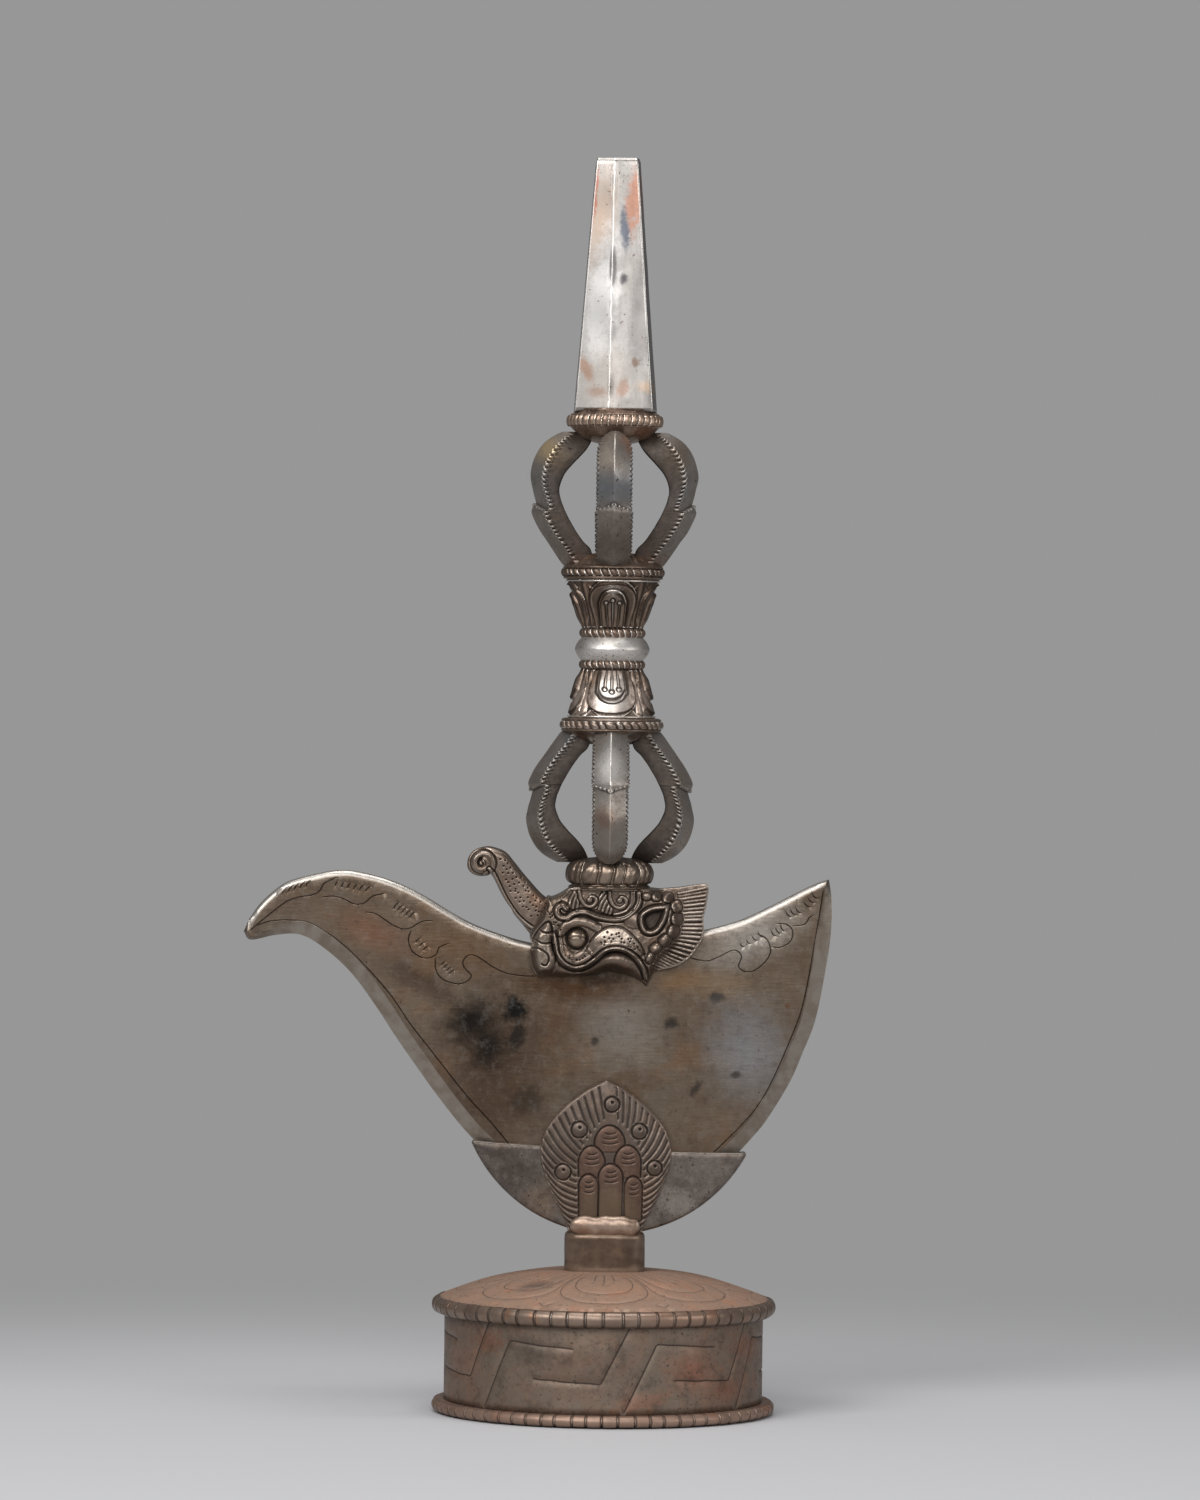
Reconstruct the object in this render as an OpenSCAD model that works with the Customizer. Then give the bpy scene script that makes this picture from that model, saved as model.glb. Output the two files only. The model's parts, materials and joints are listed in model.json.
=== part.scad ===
// Kartika chopper: a crescent blade clasped by a makara head, with a double vajra grip and a long
// blunt spike. It stands with its cutting edge in a half-moon cradle on a drum-shaped base.
// Millimetres, +Z up, origin at the centre of the base underside. The front faces -Y.

/* [Drum base] */
// How far the notched foot ring stands out from the drum wall
foot_overhang = 4.8; // [3:0.1:9]
// Height of the foot ring
foot_h = 4.5; // [4:0.1:8]
// Notches round the foot ring
foot_notches = 68; // [40:1:80]
// Outer radius of the drum wall
drum_r = 65.7; // [60:0.1:66.5]
// Height of the drum wall
drum_h = 36.5; // [25:0.5:50]
// Thickness of the rolled drum wall
drum_wall_t = 1.6; // [1.2:0.1:2.5]
// Thickness of the disc that closes the drum
bottom_t = 1.2; // [0.8:0.1:1.5]
// How far the notched ring round the lid stands out from the drum wall
lid_overhang = 5; // [3:0.1:9]
// Height of the notched ring round the lid
lid_rim_h = 6.5; // [5:0.1:9]
// Notches round the lid ring
lid_notches = 61; // [40:1:80]
// Rise of the dome above its ring
dome_rise = 11; // [6:0.5:16]
// Sheet thickness of the dome
dome_t = 1.6; // [1.2:0.1:2.5]
// Flat land in the middle of the dome, radius
dome_land_r = 19; // [18.5:0.5:24]

/* [Neck and cradle] */
// Width of the neck block
neck_w = 33; // [30:0.5:35]
// Depth of the neck block
neck_d = 23; // [22:0.5:26]
// Height of the neck block
neck_h = 16.3; // [10:0.2:24]
// Corner radius of the neck block
neck_corner = 6.5; // [3:0.5:9]
// Radius of the tenon under the neck block
tenon_r = 6; // [4:0.5:8]
// Radius of the washer under the lid
washer_r = 13; // [10:0.5:16]
// Thickness of the washer
washer_t = 2; // [1.5:0.1:3]
// How far the cradle stands right of the axis
cradle_x = 2.2; // [0:0.1:3]
// Outer radius of the half-moon plates
cradle_r = 63; // [60:0.5:66]
// Depth of the half-moon from its chord to its lowest point
cradle_depth = 36; // [32:0.5:40]
// Hollow of the chord between the horns
cradle_dip = 1.2; // [0.5:0.1:3]
// Tilt of the chord, the left horn higher
cradle_tilt = 1.9; // [0:0.1:3]
// Thickness of each half-moon plate
cradle_plate_t = 3; // [2:0.1:4]
// Depth of the saddle in the neck block
saddle_depth = 0.9; // [0.6:0.1:2]
// Radial height of the spacer strip between the plates
keel_h = 7; // [4:0.5:9]
// Half angle of the spacer strip
keel_angle = 38; // [30:1:40]

/* [Feather leaf] */
// Height of the leaf from the neck block to its tip
leaf_h = 62.6; // [56:0.2:68]
// Greatest half width of the leaf
leaf_half_w = 27; // [24:0.2:30]
// Thickness of the leaf at its edge
leaf_edge_t = 1.6; // [1.2:0.1:2.5]
// Thickness of the leaf in the middle
leaf_mid_t = 4; // [2.6:0.1:5]
// Half width of the braze lump at the leaf's foot
braze_half_w = 14.4; // [12:0.1:15.5]
// Height of the braze lump
braze_h = 7; // [5:0.1:9]

/* [Blade] */
// Reach of the hook left of the axis
hook_reach = 150.2; // [140:0.2:160]
// Reach of the right horn from the axis
horn_reach = 91.6; // [86:0.2:98]
// Height from the cutting edge's lowest point to the top of the hook
blade_h = 140.9; // [136:0.1:146]
// Thickness of the blade
blade_t = 5; // [4:0.1:6]
// Width of the ground bevel along the cutting edge
bevel_w = 5.4; // [3:0.1:6]
// Thickness left at the cutting edge
edge_t = 0.8; // [0.5:0.1:1.5]

/* [Makara head] */
// Drop from the top of the hook to the head's flat crown
crown_drop = 5.9; // [2:0.1:9]
// Length of the head from muzzle to crest
head_len = 73.2; // [70:0.1:76]
// Depth of each cast half at the brow
head_half_depth = 15; // [13:0.1:17]
// Depth of the head's edge under the collar
crown_half_depth = 14; // [12:0.1:16]
// Radius of the eye socket's bore
eye_r = 4.1; // [3:0.1:4.5]
// Radius of the rivets through the blade's root
tang_pin_r = 2; // [1.5:0.1:2.5]
// Length of the rivets
tang_pin_len = 13; // [10:0.5:14]
// Half thickness of the trunk at its root
trunk_half_t = 5.6; // [4:0.1:5.8]
// Radius of the trunk's scroll
scroll_r = 6.2; // [5:0.1:7]

/* [Vajra grip] */
// Radius of the iron rod through the grip
rod_r = 5; // [4:0.1:6]
// Depth of the rod in the head
rod_seat = 9; // [6:0.5:12]
// Height of the ribbed collar on the head
collar_h = 10.4; // [8:0.1:14]
// Radius of the ribbed collar
collar_r = 17.5; // [16:0.1:19]
// Ribs round the collar
collar_ribs = 18; // [12:1:24]
// Height of the lower cage
lower_cage_h = 53.9; // [48:0.1:60]
// Height of the upper cage
upper_cage_h = 55; // [48:0.1:60]
// Greatest radius of the cages
cage_r = 34.4; // [32:0.1:37]
// Width of each prong
prong_w = 14; // [11:0.1:14.6]
// Depth of the prong's outer roof
prong_roof = 5.4; // [3:0.1:6]
// How far the prong's sleeve stands proud of its arch
sleeve_proud = 1.6; // [0.8:0.1:2.4]
// Radius of the beaded rings that carry the cages
hub_r = 21.3; // [20.5:0.1:23]
// Height of the beaded rings that carry the cages
hub_h = 5.6; // [4.5:0.1:7]
// Beads round each of them
hub_beads = 40; // [24:1:48]
// Height of each lotus
lotus_h = 19.8; // [16:0.1:24]
// Radius of the lotus at its wide end
lotus_wide_r = 18.6; // [17:0.1:19.5]
// Radius of the lotus at its narrow end
lotus_narrow_r = 12.6; // [11:0.1:13]
// Thickness of the lotus petals on the cone
petal_t = 0.9; // [0.5:0.1:1.2]
// Radius of the small beaded rings
bead_ring_r = 13.4; // [12.5:0.1:14.5]
// Height of the small beaded rings
bead_ring_h = 4.3; // [3:0.1:6]
// Beads round each of them
small_beads = 28; // [18:1:34]
// Radius of the round knob
knob_r = 15.4; // [14.6:0.1:18]
// Height of the round knob
knob_h = 8.7; // [6:0.1:12]
// Radius of the beaded collar under the spike
tip_collar_r = 19.7; // [19:0.1:22]
// Height of the beaded collar under the spike
tip_collar_h = 9; // [7:0.1:12]
// Beads round the collar
tip_beads = 38; // [24:1:46]

/* [Spike] */
// Height of the spike
spike_h = 103.4; // [80:0.2:120]
// Half width of the spike at its foot
spike_foot = 16.2; // [14:0.1:16.6]
// Half depth of the spike at its foot
spike_foot_d = 10.6; // [9:0.1:11]
// Half width of the spike at its blunt top
spike_top = 8.6; // [6:0.1:10]
// Half depth of the spike at its blunt top
spike_top_d = 6.4; // [5:0.1:8]
// How far the ridge on each face stands proud
spike_ridge = 1.8; // [0.6:0.1:2.4]
// Turn of the spike about the axis
spike_turn = -4; // [-8:0.5:8]
// Depth of the rod's socket in the spike
spike_socket = 20; // [10:1:40]

/* [Fits] */
// Gap between pieces that fit together
fit_gap = 0.1; // [0.05:0.01:0.15]
// Gap between the blade and the cradle that it lifts out of
lift_gap = 0.3; // [0.2:0.05:0.5]

/* [Hidden] */
$fn = 96;
far = 400;

// Heights of the stand, each piece on the one below
ledge_w = 3;
rim_rebate = 1;
foot_r = drum_r + foot_overhang;
lid_rim_r = drum_r + lid_overhang;
drum_inner_r = drum_r - drum_wall_t;
plate_r = drum_inner_r - 1;
rim_z = foot_h + drum_h - rim_rebate;
dome_z = rim_z + lid_rim_h;
neck_z = dome_z + dome_rise;
neck_top = neck_z + neck_h;
cradle_z = neck_top - saddle_depth + cradle_r;
chord_z = cradle_depth - cradle_r;
plate_in = blade_t / 2 + lift_gap;
plate_out = plate_in + cradle_plate_t;
seat_r = cradle_r - keel_h;

// Heights of the chopper, which all hang on the blade's lowest point
blade_z = neck_top - saddle_depth + keel_h + lift_gap;
crown = blade_z + blade_h - crown_drop;
cage_1 = crown + collar_h;
hub_1 = cage_1 + lower_cage_h;
lotus_1 = hub_1 + hub_h;
ring_1 = lotus_1 + lotus_h;
knob_z = ring_1 + bead_ring_h;
ring_2 = knob_z + knob_h;
lotus_2 = ring_2 + bead_ring_h;
hub_2 = lotus_2 + lotus_h;
cage_2 = hub_2 + hub_h;
tip_z = cage_2 + upper_cage_h;
spike_z = tip_z + tip_collar_h;
rod_bore = rod_r + fit_gap;

// Place and scale of the head's own drawing, which has its flat crown 18.2 above its centre
head_scale = head_len / 73.2;
head_z = crown - 18.2 * head_scale;
root_top = 3.5;

// Straight blend from a to b
function mix(a, b, t) = a + (b - a) * t;

// Smooth step from 0 at a to 1 at b
function ease(a, b, x) = let (t = min(max((x - a) / (b - a), 0), 1)) t * t * (3 - 2 * t);

// Round hill of height 1 and radius r at distance d from its middle
function hill(d, r) = exp(-d * d / (r * r));

// Distance from point p to the segment a-b, and to a whole line of points
function to_segment(p, a, b) =
    let (ab = b - a, t = min(max((p - a) * ab / (ab * ab), 0), 1)) norm(p - a - ab * t);
function to_line(p, line) =
    min([for (i = [0 : len(line) - 2]) to_segment(p, line[i], line[i + 1])]);

// Smooth curve through the points, with the given steps from each to the next
function curve(points, steps) = [
    for (i = [0 : len(points) - 2]) for (k = [0 : steps - 1])
        let (
            a = points[max(i - 1, 0)], b = points[i],
            c = points[i + 1], d = points[min(i + 2, len(points) - 1)],
            t = k / steps
        )
        b + (c - a) * t / 2 + (a * 2 - b * 5 + c * 4 - d) * t * t / 2
            + (b * 3 - a - c * 3 + d) * t * t * t / 2,
    points[len(points) - 1],
];

// Closed line with no side longer than step
function divided(points, step) = [
    for (i = [0 : len(points) - 1])
        let (
            a = points[i], b = points[(i + 1) % len(points)],
            n = max(1, ceil(norm([b[0] - a[0], b[1] - a[1]]) / step))
        )
        for (k = [0 : n - 1]) mix(a, b, k / n),
];

// Twice the area of triangle a-b-c, above 0 where it turns left
function turn(a, b, c) = (b[0] - a[0]) * (c[1] - a[1]) - (b[1] - a[1]) * (c[0] - a[0]);

// Triangles that fill an outline that turns left, cut off one ear at a time
function is_ear(points, left, k) =
    let (
        n = len(left), i = (k + n - 1) % n, j = (k + 1) % n,
        a = points[left[i]], b = points[left[k]], c = points[left[j]],
        inside = [
            for (m = [0 : n - 1]) let (p = points[left[m]])
                if (m != i && m != j && m != k
                    && min(turn(a, b, p), turn(b, c, p), turn(c, a, p)) >= 0) m,
        ]
    )
    turn(a, b, c) > 0 && len(inside) == 0;
function ears(points, left, k = 0) =
    let (n = len(left), at = k % n)
    n == 3 ? [left]
    : !is_ear(points, left, at) ? ears(points, left, at + 1)
    : concat(
        [[left[(at + n - 1) % n], left[at], left[(at + 1) % n]]],
        ears(points, [for (m = [0 : n - 1]) if (m != at) left[m]], at + 1)
    );

// Solid between rings of points, closed at both ends by one face each or by the given triangles
module loft(rings, filled = undef) {
    n = len(rings[0]);
    last = len(rings) - 1;
    first = is_undef(filled) ? [[for (i = [0 : n - 1]) i]] : filled;
    points = [for (ring = rings) each ring];
    sides = [
        for (j = [0 : last - 1]) for (i = [0 : n - 1])
            let (a = j * n + i, b = j * n + (i + 1) % n)
            each [[a, b + n, b], [a, a + n, b + n]],
    ];
    ends = concat(first, [for (f = first) [for (i = [len(f) - 1 : -1 : 0]) last * n + f[i]]]);
    polyhedron(points, concat(sides, ends), convexity = 8);
}

// Cast half with a flat back at y = 0 and a carved face towards -Y. Each outline point is
// [x, z, edge depth]; height(x, z, share, edge depth) gives the depth at a share of the way
// from the middle (0) to the outline (1).
module relief(outline, rings, height) {
    n = len(outline);
    face = [
        for (j = [1 : rings]) for (p = outline)
            let (s = j / rings) [p[0] * s, -height(p[0] * s, p[1] * s, s, p[2]), p[1] * s],
    ];
    back = [for (p = outline) [p[0], 0, p[1]]];
    middle = [0, -height(0, 0, 0, outline[0][2]), 0];
    points = concat([middle], face, back, [[0, 0, 0]]);
    last = len(points) - 1;
    fan = [for (i = [0 : n - 1]) [0, 1 + (i + 1) % n, 1 + i]];
    quads = [
        for (j = [0 : rings - 1]) for (i = [0 : n - 1])
            let (a = 1 + j * n + i, b = 1 + j * n + (i + 1) % n)
            each [[a, b, b + n], [a, b + n, a + n]],
    ];
    rear = [for (i = [0 : n - 1]) [last, 1 + rings * n + i, 1 + rings * n + (i + 1) % n]];
    polyhedron(points, concat(fan, quads, rear), convexity = 8);
}

// Copies of the child, evenly round the axis
module around(count) {
    for (i = [0 : count - 1]) rotate([0, 0, 360 * i / count]) children();
}

// Upright bore for the rod between two heights
module rod_hole(z0, z1) {
    translate([0, 0, z0]) cylinder(r = rod_bore, h = z1 - z0);
}

// Round-edged ring with notches cut down its rim
module notched_ring(r_in, r_out, h, count, notch_w, notch_d) {
    difference() {
        rotate_extrude() {
            translate([r_out - h / 2, h / 2]) circle(d = h, $fn = 24);
            translate([r_in, 0]) square([r_out - h / 2 - r_in, h]);
        }
        around(count) translate([r_out - notch_d, -notch_w / 2, -1])
            cube([notch_d + 1, notch_w, h + 2]);
    }
}

// Foot ring, rebated from below for the bottom plate
module base_ring() {
    color("sienna") difference() {
        notched_ring(plate_r - ledge_w, foot_r, foot_h, foot_notches, 1, 1);
        translate([0, 0, -1]) cylinder(r = plate_r + fit_gap, h = 1 + bottom_t);
    }
}

// Disc under the foot ring's ledge, flush with the ring
module bottom_plate() {
    color("dimgray") cylinder(r = plate_r, h = bottom_t);
}

// Rolled wall of the drum
module drum_wall() {
    color("rosybrown") translate([0, 0, foot_h]) difference() {
        cylinder(r = drum_r, h = drum_h, $fn = 128);
        translate([0, 0, -1]) cylinder(r = drum_inner_r, h = drum_h + 2, $fn = 128);
    }
}

// Ring that the drum wall ends in, with a rebate for the wall
module lid_rim() {
    rim_in = drum_inner_r - 4;
    color("gray") translate([0, 0, rim_z]) difference() {
        notched_ring(rim_in, lid_rim_r, lid_rim_h, lid_notches, 1.3, 1.5);
        difference() {
            translate([0, 0, -1]) cylinder(r = drum_r + fit_gap, h = 1 + rim_rebate);
            translate([0, 0, -2]) cylinder(r = drum_inner_r - fit_gap, h = 4);
        }
    }
}

// Height of the dome's outer face at radius r, flat in the middle and steeper outwards
function dome_height(r) =
    dome_rise * (1 - pow(max(r - dome_land_r, 0) / (dome_edge_r - dome_land_r), 2.6));
dome_edge_r = lid_rim_r - lid_rim_h / 2;
dome_stations = [dome_land_r, for (k = [1 : 9]) mix(dome_land_r, dome_edge_r, k / 9)];

// Domed lid with a hole for the tenon
module lid_dome() {
    outer = [for (r = dome_stations) [r, dome_height(r)]];
    inner = [for (i = [len(outer) - 1 : -1 : 0]) outer[i] - [0, dome_t]];
    color("indianred") translate([0, 0, dome_z]) intersection() {
        rotate_extrude($fn = 128) polygon(concat([[tenon_r + fit_gap, dome_rise]], outer,
            inner, [[tenon_r + fit_gap, dome_rise - dome_t]]));
        cylinder(r = lid_rim_r, h = dome_rise + 1);
    }
}

// Oval neck on the lid, with a saddle for the cradle and a peened tenon below
module neck_block() {
    inset_w = neck_w / 2 - neck_corner;
    inset_d = neck_d / 2 - neck_corner;
    tenon_h = dome_t + washer_t + 1;
    color("dimgray") difference() {
        union() {
            translate([0, 0, neck_z]) linear_extrude(neck_h) {
                square([neck_w, 2 * inset_d], center = true);
                square([2 * inset_w, neck_d], center = true);
                for (x = [-inset_w, inset_w], y = [-inset_d, inset_d])
                    translate([x, y]) circle(neck_corner, $fn = 32);
            }
            translate([0, 0, neck_z - tenon_h]) cylinder(r = tenon_r, h = tenon_h);
        }
        translate([cradle_x, 0, cradle_z]) rotate([90, 0, 0])
            cylinder(r = cradle_r + 0.02, h = 2 * (plate_out + fit_gap), center = true, $fn = 180);
    }
}

// Washer that spreads the peened tenon's pull
module neck_washer() {
    color("gray") translate([0, 0, neck_z - dome_t - washer_t]) difference() {
        cylinder(r = washer_r, h = washer_t);
        translate([0, 0, -1]) cylinder(r = tenon_r + fit_gap, h = washer_t + 2);
    }
}

// Half-moon outline with a slightly hollow chord
module half_moon() {
    half_chord = sqrt(cradle_r * cradle_r - chord_z * chord_z);
    hollow_r = (half_chord * half_chord + cradle_dip * cradle_dip) / (2 * cradle_dip);
    difference() {
        circle(cradle_r, $fn = 180);
        rotate(-cradle_tilt) translate([0, chord_z - cradle_dip + hollow_r])
            circle(hollow_r, $fn = 360);
    }
}

// One half-moon plate, its inner face at the blade's gap
module cradle_plate() {
    color("slategray") translate([cradle_x, -plate_in, cradle_z]) rotate([90, 0, 0])
        linear_extrude(cradle_plate_t) half_moon();
}
module cradle_front() {
    cradle_plate();
}
module cradle_back() {
    mirror([0, 1, 0]) cradle_plate();
}

// Curved strip between the plates, under the blade's edge
module cradle_keel() {
    reach = 2 * cradle_r * tan(keel_angle);
    color("darkslategray") translate([cradle_x, plate_in, cradle_z]) rotate([90, 0, 0])
        linear_extrude(2 * plate_in) intersection() {
            difference() {
                circle(cradle_r, $fn = 180);
                circle(seat_r, $fn = 180);
            }
            polygon([[0, 0], [-reach, -2 * cradle_r], [reach, -2 * cradle_r]]);
        }
}

// Leaf outline from its foot up the right side to the tip, as shares of half width and height
leaf_side = [
    [0.56, 0], [0.62, 0.08], [0.84, 0.27], [0.98, 0.46], [0.99, 0.56],
    [0.90, 0.68], [0.68, 0.80], [0.34, 0.92], [0, 1],
];
leaf_curve = curve(leaf_side, 2);
leaf_mid = 0.5 * leaf_h;
leaf_outline = [
    for (p = leaf_curve) [p[0] * leaf_half_w, p[1] * leaf_h - leaf_mid, leaf_edge_t],
    for (i = [len(leaf_curve) - 2 : -1 : 0])
        [-leaf_curve[i][0] * leaf_half_w, leaf_curve[i][1] * leaf_h - leaf_mid, leaf_edge_t],
];

// Feathered leaf, crowned in the middle, on the cradle plate
module leaf() {
    color("peru") translate([0, -plate_out, neck_top + leaf_mid])
        relief(divided(leaf_outline, 6), 5, function (x, z, s, e) mix(leaf_mid_t, e, pow(s, 2.4)));
}
module leaf_front() {
    leaf();
}
module leaf_back() {
    mirror([0, 1, 0]) leaf();
}

// Lump of braze on the neck block, over the leaf's foot
module braze() {
    half_h = braze_h / 2;
    edge_depth = leaf_mid_t * 0.8;
    outline = [for (a = [0 : 15 : 345])
        let (c = cos(a), s = sin(a))
        [braze_half_w * sign(c) * pow(abs(c), 0.6), half_h * sign(s) * pow(abs(s), 0.6), edge_depth]];
    color("burlywood") difference() {
        translate([0, -plate_out, neck_top + half_h])
            relief(outline, 4, function (x, z, s, e) mix(neck_d / 2 - plate_out, e, s * s));
        leaf();
    }
}
module braze_front() {
    braze();
}
module braze_back() {
    mirror([0, 1, 0]) braze();
}

// Blade edges as [share of reach, height, bevel width, half thickness at the edge]. Heights are
// in the drawing's own 140.9 mm and scaled to blade_h.
cut_edge = edge_t / 2;
spine_edge = blade_t / 2 - 0.6;
spine_bevel = 1.1;
hook_side = [
    [1, 115.2, 0.5, cut_edge], [0.98, 111.8, 1.2, cut_edge], [0.912, 113.9, bevel_w * 0.6, cut_edge],
    [0.846, 114.2, bevel_w, cut_edge], [0.783, 109.2, bevel_w, cut_edge],
    [0.708, 99.4, bevel_w, cut_edge], [0.641, 86.4, bevel_w, cut_edge],
    [0.583, 73.4, bevel_w, cut_edge], [0.521, 60.3, bevel_w, cut_edge],
    [0.457, 47.3, bevel_w, cut_edge], [0.385, 34.2, bevel_w, cut_edge],
    [0.306, 22.8, bevel_w, cut_edge],
];
horn_side = [
    [0.552, 22.8, bevel_w, cut_edge], [0.66, 33.3, bevel_w, cut_edge],
    [0.724, 40.8, bevel_w, cut_edge], [0.821, 55.7, bevel_w, cut_edge],
    [0.882, 68.9, bevel_w, cut_edge], [0.935, 82.1, bevel_w, cut_edge],
    [0.976, 101.9, bevel_w, cut_edge], [0.998, 116.8, bevel_w, cut_edge],
    [1, 130.8, bevel_w * 0.6, cut_edge], [0.987, 139.6, 0.5, cut_edge],
];
horn_top = [
    [0.949, 138.6, 0.9, spine_edge], [0.877, 135.6, spine_bevel, spine_edge],
    [0.735, 128.8, spine_bevel, spine_edge], [0.592, 122.5, spine_bevel, spine_edge],
    [0.449, 118.6, spine_bevel, spine_edge],
];
hook_top = [
    [0.274, 114.3, spine_bevel, spine_edge], [0.387, 120.6, spine_bevel, spine_edge],
    [0.519, 131.9, spine_bevel, spine_edge], [0.607, 137.5, spine_bevel, spine_edge],
    [0.695, 140.6, spine_bevel, spine_edge], [0.739, 140.9, spine_bevel, spine_edge],
    [0.783, 140.0, spine_bevel, spine_edge], [0.870, 136.6, spine_bevel, spine_edge],
    [0.913, 132.8, spine_bevel, spine_edge], [0.957, 126.5, spine_bevel, spine_edge],
    [0.986, 120.2, 0.9, spine_edge],
];

// Root that the head's halves clamp, as [x, z] in the head's drawing
root_line = [[38.4, 2.2], [37.6, root_top], [-29.6, root_top], [-31.2, -1.4], [-32.6, -4.6]];
edge_r = seat_r - lift_gap;
edge_arc = [
    for (a = [-36 : 9 : 36]) [cradle_x + edge_r * sin(a), edge_r * (1 - cos(a)), bevel_w, cut_edge],
];
function to_blade(points, reach) =
    [for (p = points) [p[0] * reach, p[1] * blade_h / 140.9, p[2], p[3]]];
blade_outline = concat(
    curve(concat(to_blade(hook_side, -hook_reach), edge_arc, to_blade(horn_side, horn_reach)), 2),
    curve(to_blade(horn_top, horn_reach), 2),
    [for (p = root_line)
        [p[0] * head_scale, head_z - blade_z + p[1] * head_scale, 0.3, blade_t / 2 - 0.2]],
    curve(to_blade(hook_top, -hook_reach), 2)
);

// Rivets through the halves and the blade's root, as [x, z] in the head's drawing
tang_pins_at = [[-3, -6], [22, -4]];
module tang_holes(length) {
    for (p = tang_pins_at) translate([p[0] * head_scale, 0, p[1] * head_scale])
        rotate([90, 0, 0]) cylinder(r = tang_pin_r + fit_gap / 2, h = length, center = true);
}

// Blade with a bevel ground along its cutting edge and a narrow chamfer on its spine
module blade() {
    n = len(blade_outline);
    inset = [
        for (i = [0 : n - 1])
            let (
                p = blade_outline[i],
                before = blade_outline[(i + n - 1) % n], after = blade_outline[(i + 1) % n],
                along = [after[0] - before[0], after[1] - before[1]],
                way = along / norm(along)
            )
            [p[0] - way[1] * p[2], p[1] + way[0] * p[2]],
    ];
    color("darkgray") translate([0, 0, blade_z]) difference() {
        loft([
            [for (i = [0 : n - 1]) [inset[i][0], blade_t / 2, inset[i][1]]],
            [for (p = blade_outline) [p[0], p[3], p[1]]],
            [for (p = blade_outline) [p[0], -p[3], p[1]]],
            [for (i = [0 : n - 1]) [inset[i][0], -blade_t / 2, inset[i][1]]],
        ], ears(inset, [for (i = [0 : n - 1]) i]));
        translate([0, 0, head_z - blade_z]) tang_holes(2 * blade_t);
    }
}

// Head outline as [x, z, edge depth], round its centre, from the crest over the crown
crest_t = 3.9;
eye_seat = head_half_depth - 8;
head_points = [
    [39.3, 1.9, crest_t], [38.8, 6.1, crest_t], [39.8, 11, crest_t], [40.9, 17.9, crest_t],
    [40, 20.3, crest_t], [34.1, 19.6, crest_t], [29.2, 18.8, 4.6], [21.4, 18.2, 7],
    [17, 18.2, crown_half_depth], [-15.5, 18.2, crown_half_depth], [-20.1, 15.8, 9],
    [-23.5, 14.4, 7], [-26, 14, 6.2], [-32.4, -1.1, 6.2], [-31.6, -4.5, 6.5], [-32.3, -8, 6.5],
    [-32.1, -11.5, 6], [-30.8, -15.7, 5], [-28.7, -18.1, 4], [-21, -18.2, 4.5],
    [-14.1, -18.1, 4.5], [-5.8, -17.3, 4.5], [-0.2, -16.3, 4.5], [5.4, -16.9, 4.5],
    [9.6, -17.9, 4.2], [13.7, -20, 4], [15.9, -21.5, 3.9], [18.9, -15.7, crest_t], [20.6, -15, crest_t],
    [27.6, -13.5, crest_t], [33.1, -10, crest_t], [37.2, -4.4, crest_t],
];
brow_line = [[-21.4, 6.7], [-18.6, 6.1], [-14.4, 8.1], [-9.6, 8.3], [-4, 6.2], [3, 5.8], [7.8, 7.1],
    [11.3, 10.6], [13.3, 14.8]];
lip_line = [[-21.9, -4.4], [-21.2, -8.6], [-18.3, -12.7], [-14.1, -14.7], [-10, -14], [-5.8, -11.2],
    [-1.7, -7.6], [2.5, -6.3], [7.3, -7.2], [11.5, -10.2], [14.4, -14.4], [15.8, -19.2]];
tusk_line = [[-24.6, 3], [-27.4, -3], [-28.2, -9], [-28, -14.5]];
ear_line = [[13.5, 3.4], [17.5, 6.5], [23.4, 10.6]];
eye_at = [-13, -2.4];
crest_centre = [8, 4];
crest_root_r = 19.5;

// Depth of the carved face: a pillow with brow, socket, cheek, lip, tusk, ear and thin crest
function head_depth(x, z, s, e) =
    let (
        p = [x, z],
        pillow = mix(head_half_depth - 2, e, pow(s, 2.8)),
        fade = 1 - pow(s, 12),
        brow = 2.6 * hill(to_line(p, brow_line), 2.4) + 1.2 * hill(norm(p - [0, 12]), 9),
        socket = -3.4 * hill(norm(p - eye_at), 5.5),
        cheek = 1.6 * hill(norm(p - [3, -2]), 7),
        lip = 1.4 * hill(to_line(p, lip_line), 1.6),
        mouth = -2.2 * hill(norm(p - [3, -15]), 7),
        tusk = 2.6 * hill(to_line(p, tusk_line), 2.8),
        ear = 2.6 * hill(to_line(p, ear_line), 3) - 2.4 * hill(to_line(p, [ear_line[0], ear_line[1]]), 1.5),
        carved = pillow + fade * (brow + socket + cheek + lip + mouth + tusk + ear),
        crest = ease(0, 3, norm(p - crest_centre) - crest_root_r) * ease(13, 17, x)
    )
    mix(carved, min(carved, crest_t + 1.6), crest);

// One cast half, with its pocket for the blade, its eye socket, its rivet holes and the rod's bore
module head_half() {
    outline = divided([for (p = head_points) [p[0] * head_scale, p[1] * head_scale, p[2]]], 2.8);
    pocket_top = root_top * head_scale + fit_gap;
    color("dimgray") translate([0, 0, head_z]) difference() {
        relief(outline, 17, function (x, z, s, e) head_depth(x / head_scale, z / head_scale, s, e));
        translate([-far / 2, -blade_t / 2 - fit_gap / 2, pocket_top - far]) cube([far, far, far]);
        translate([eye_at[0] * head_scale, -eye_seat, eye_at[1] * head_scale]) rotate([90, 0, 0])
            cylinder(r = eye_r + fit_gap, h = far);
        tang_holes(tang_pin_len + fit_gap);
        rod_hole(crown - rod_seat - fit_gap - head_z, crown + 1 - head_z);
    }
}
module head_front() {
    head_half();
}
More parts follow.
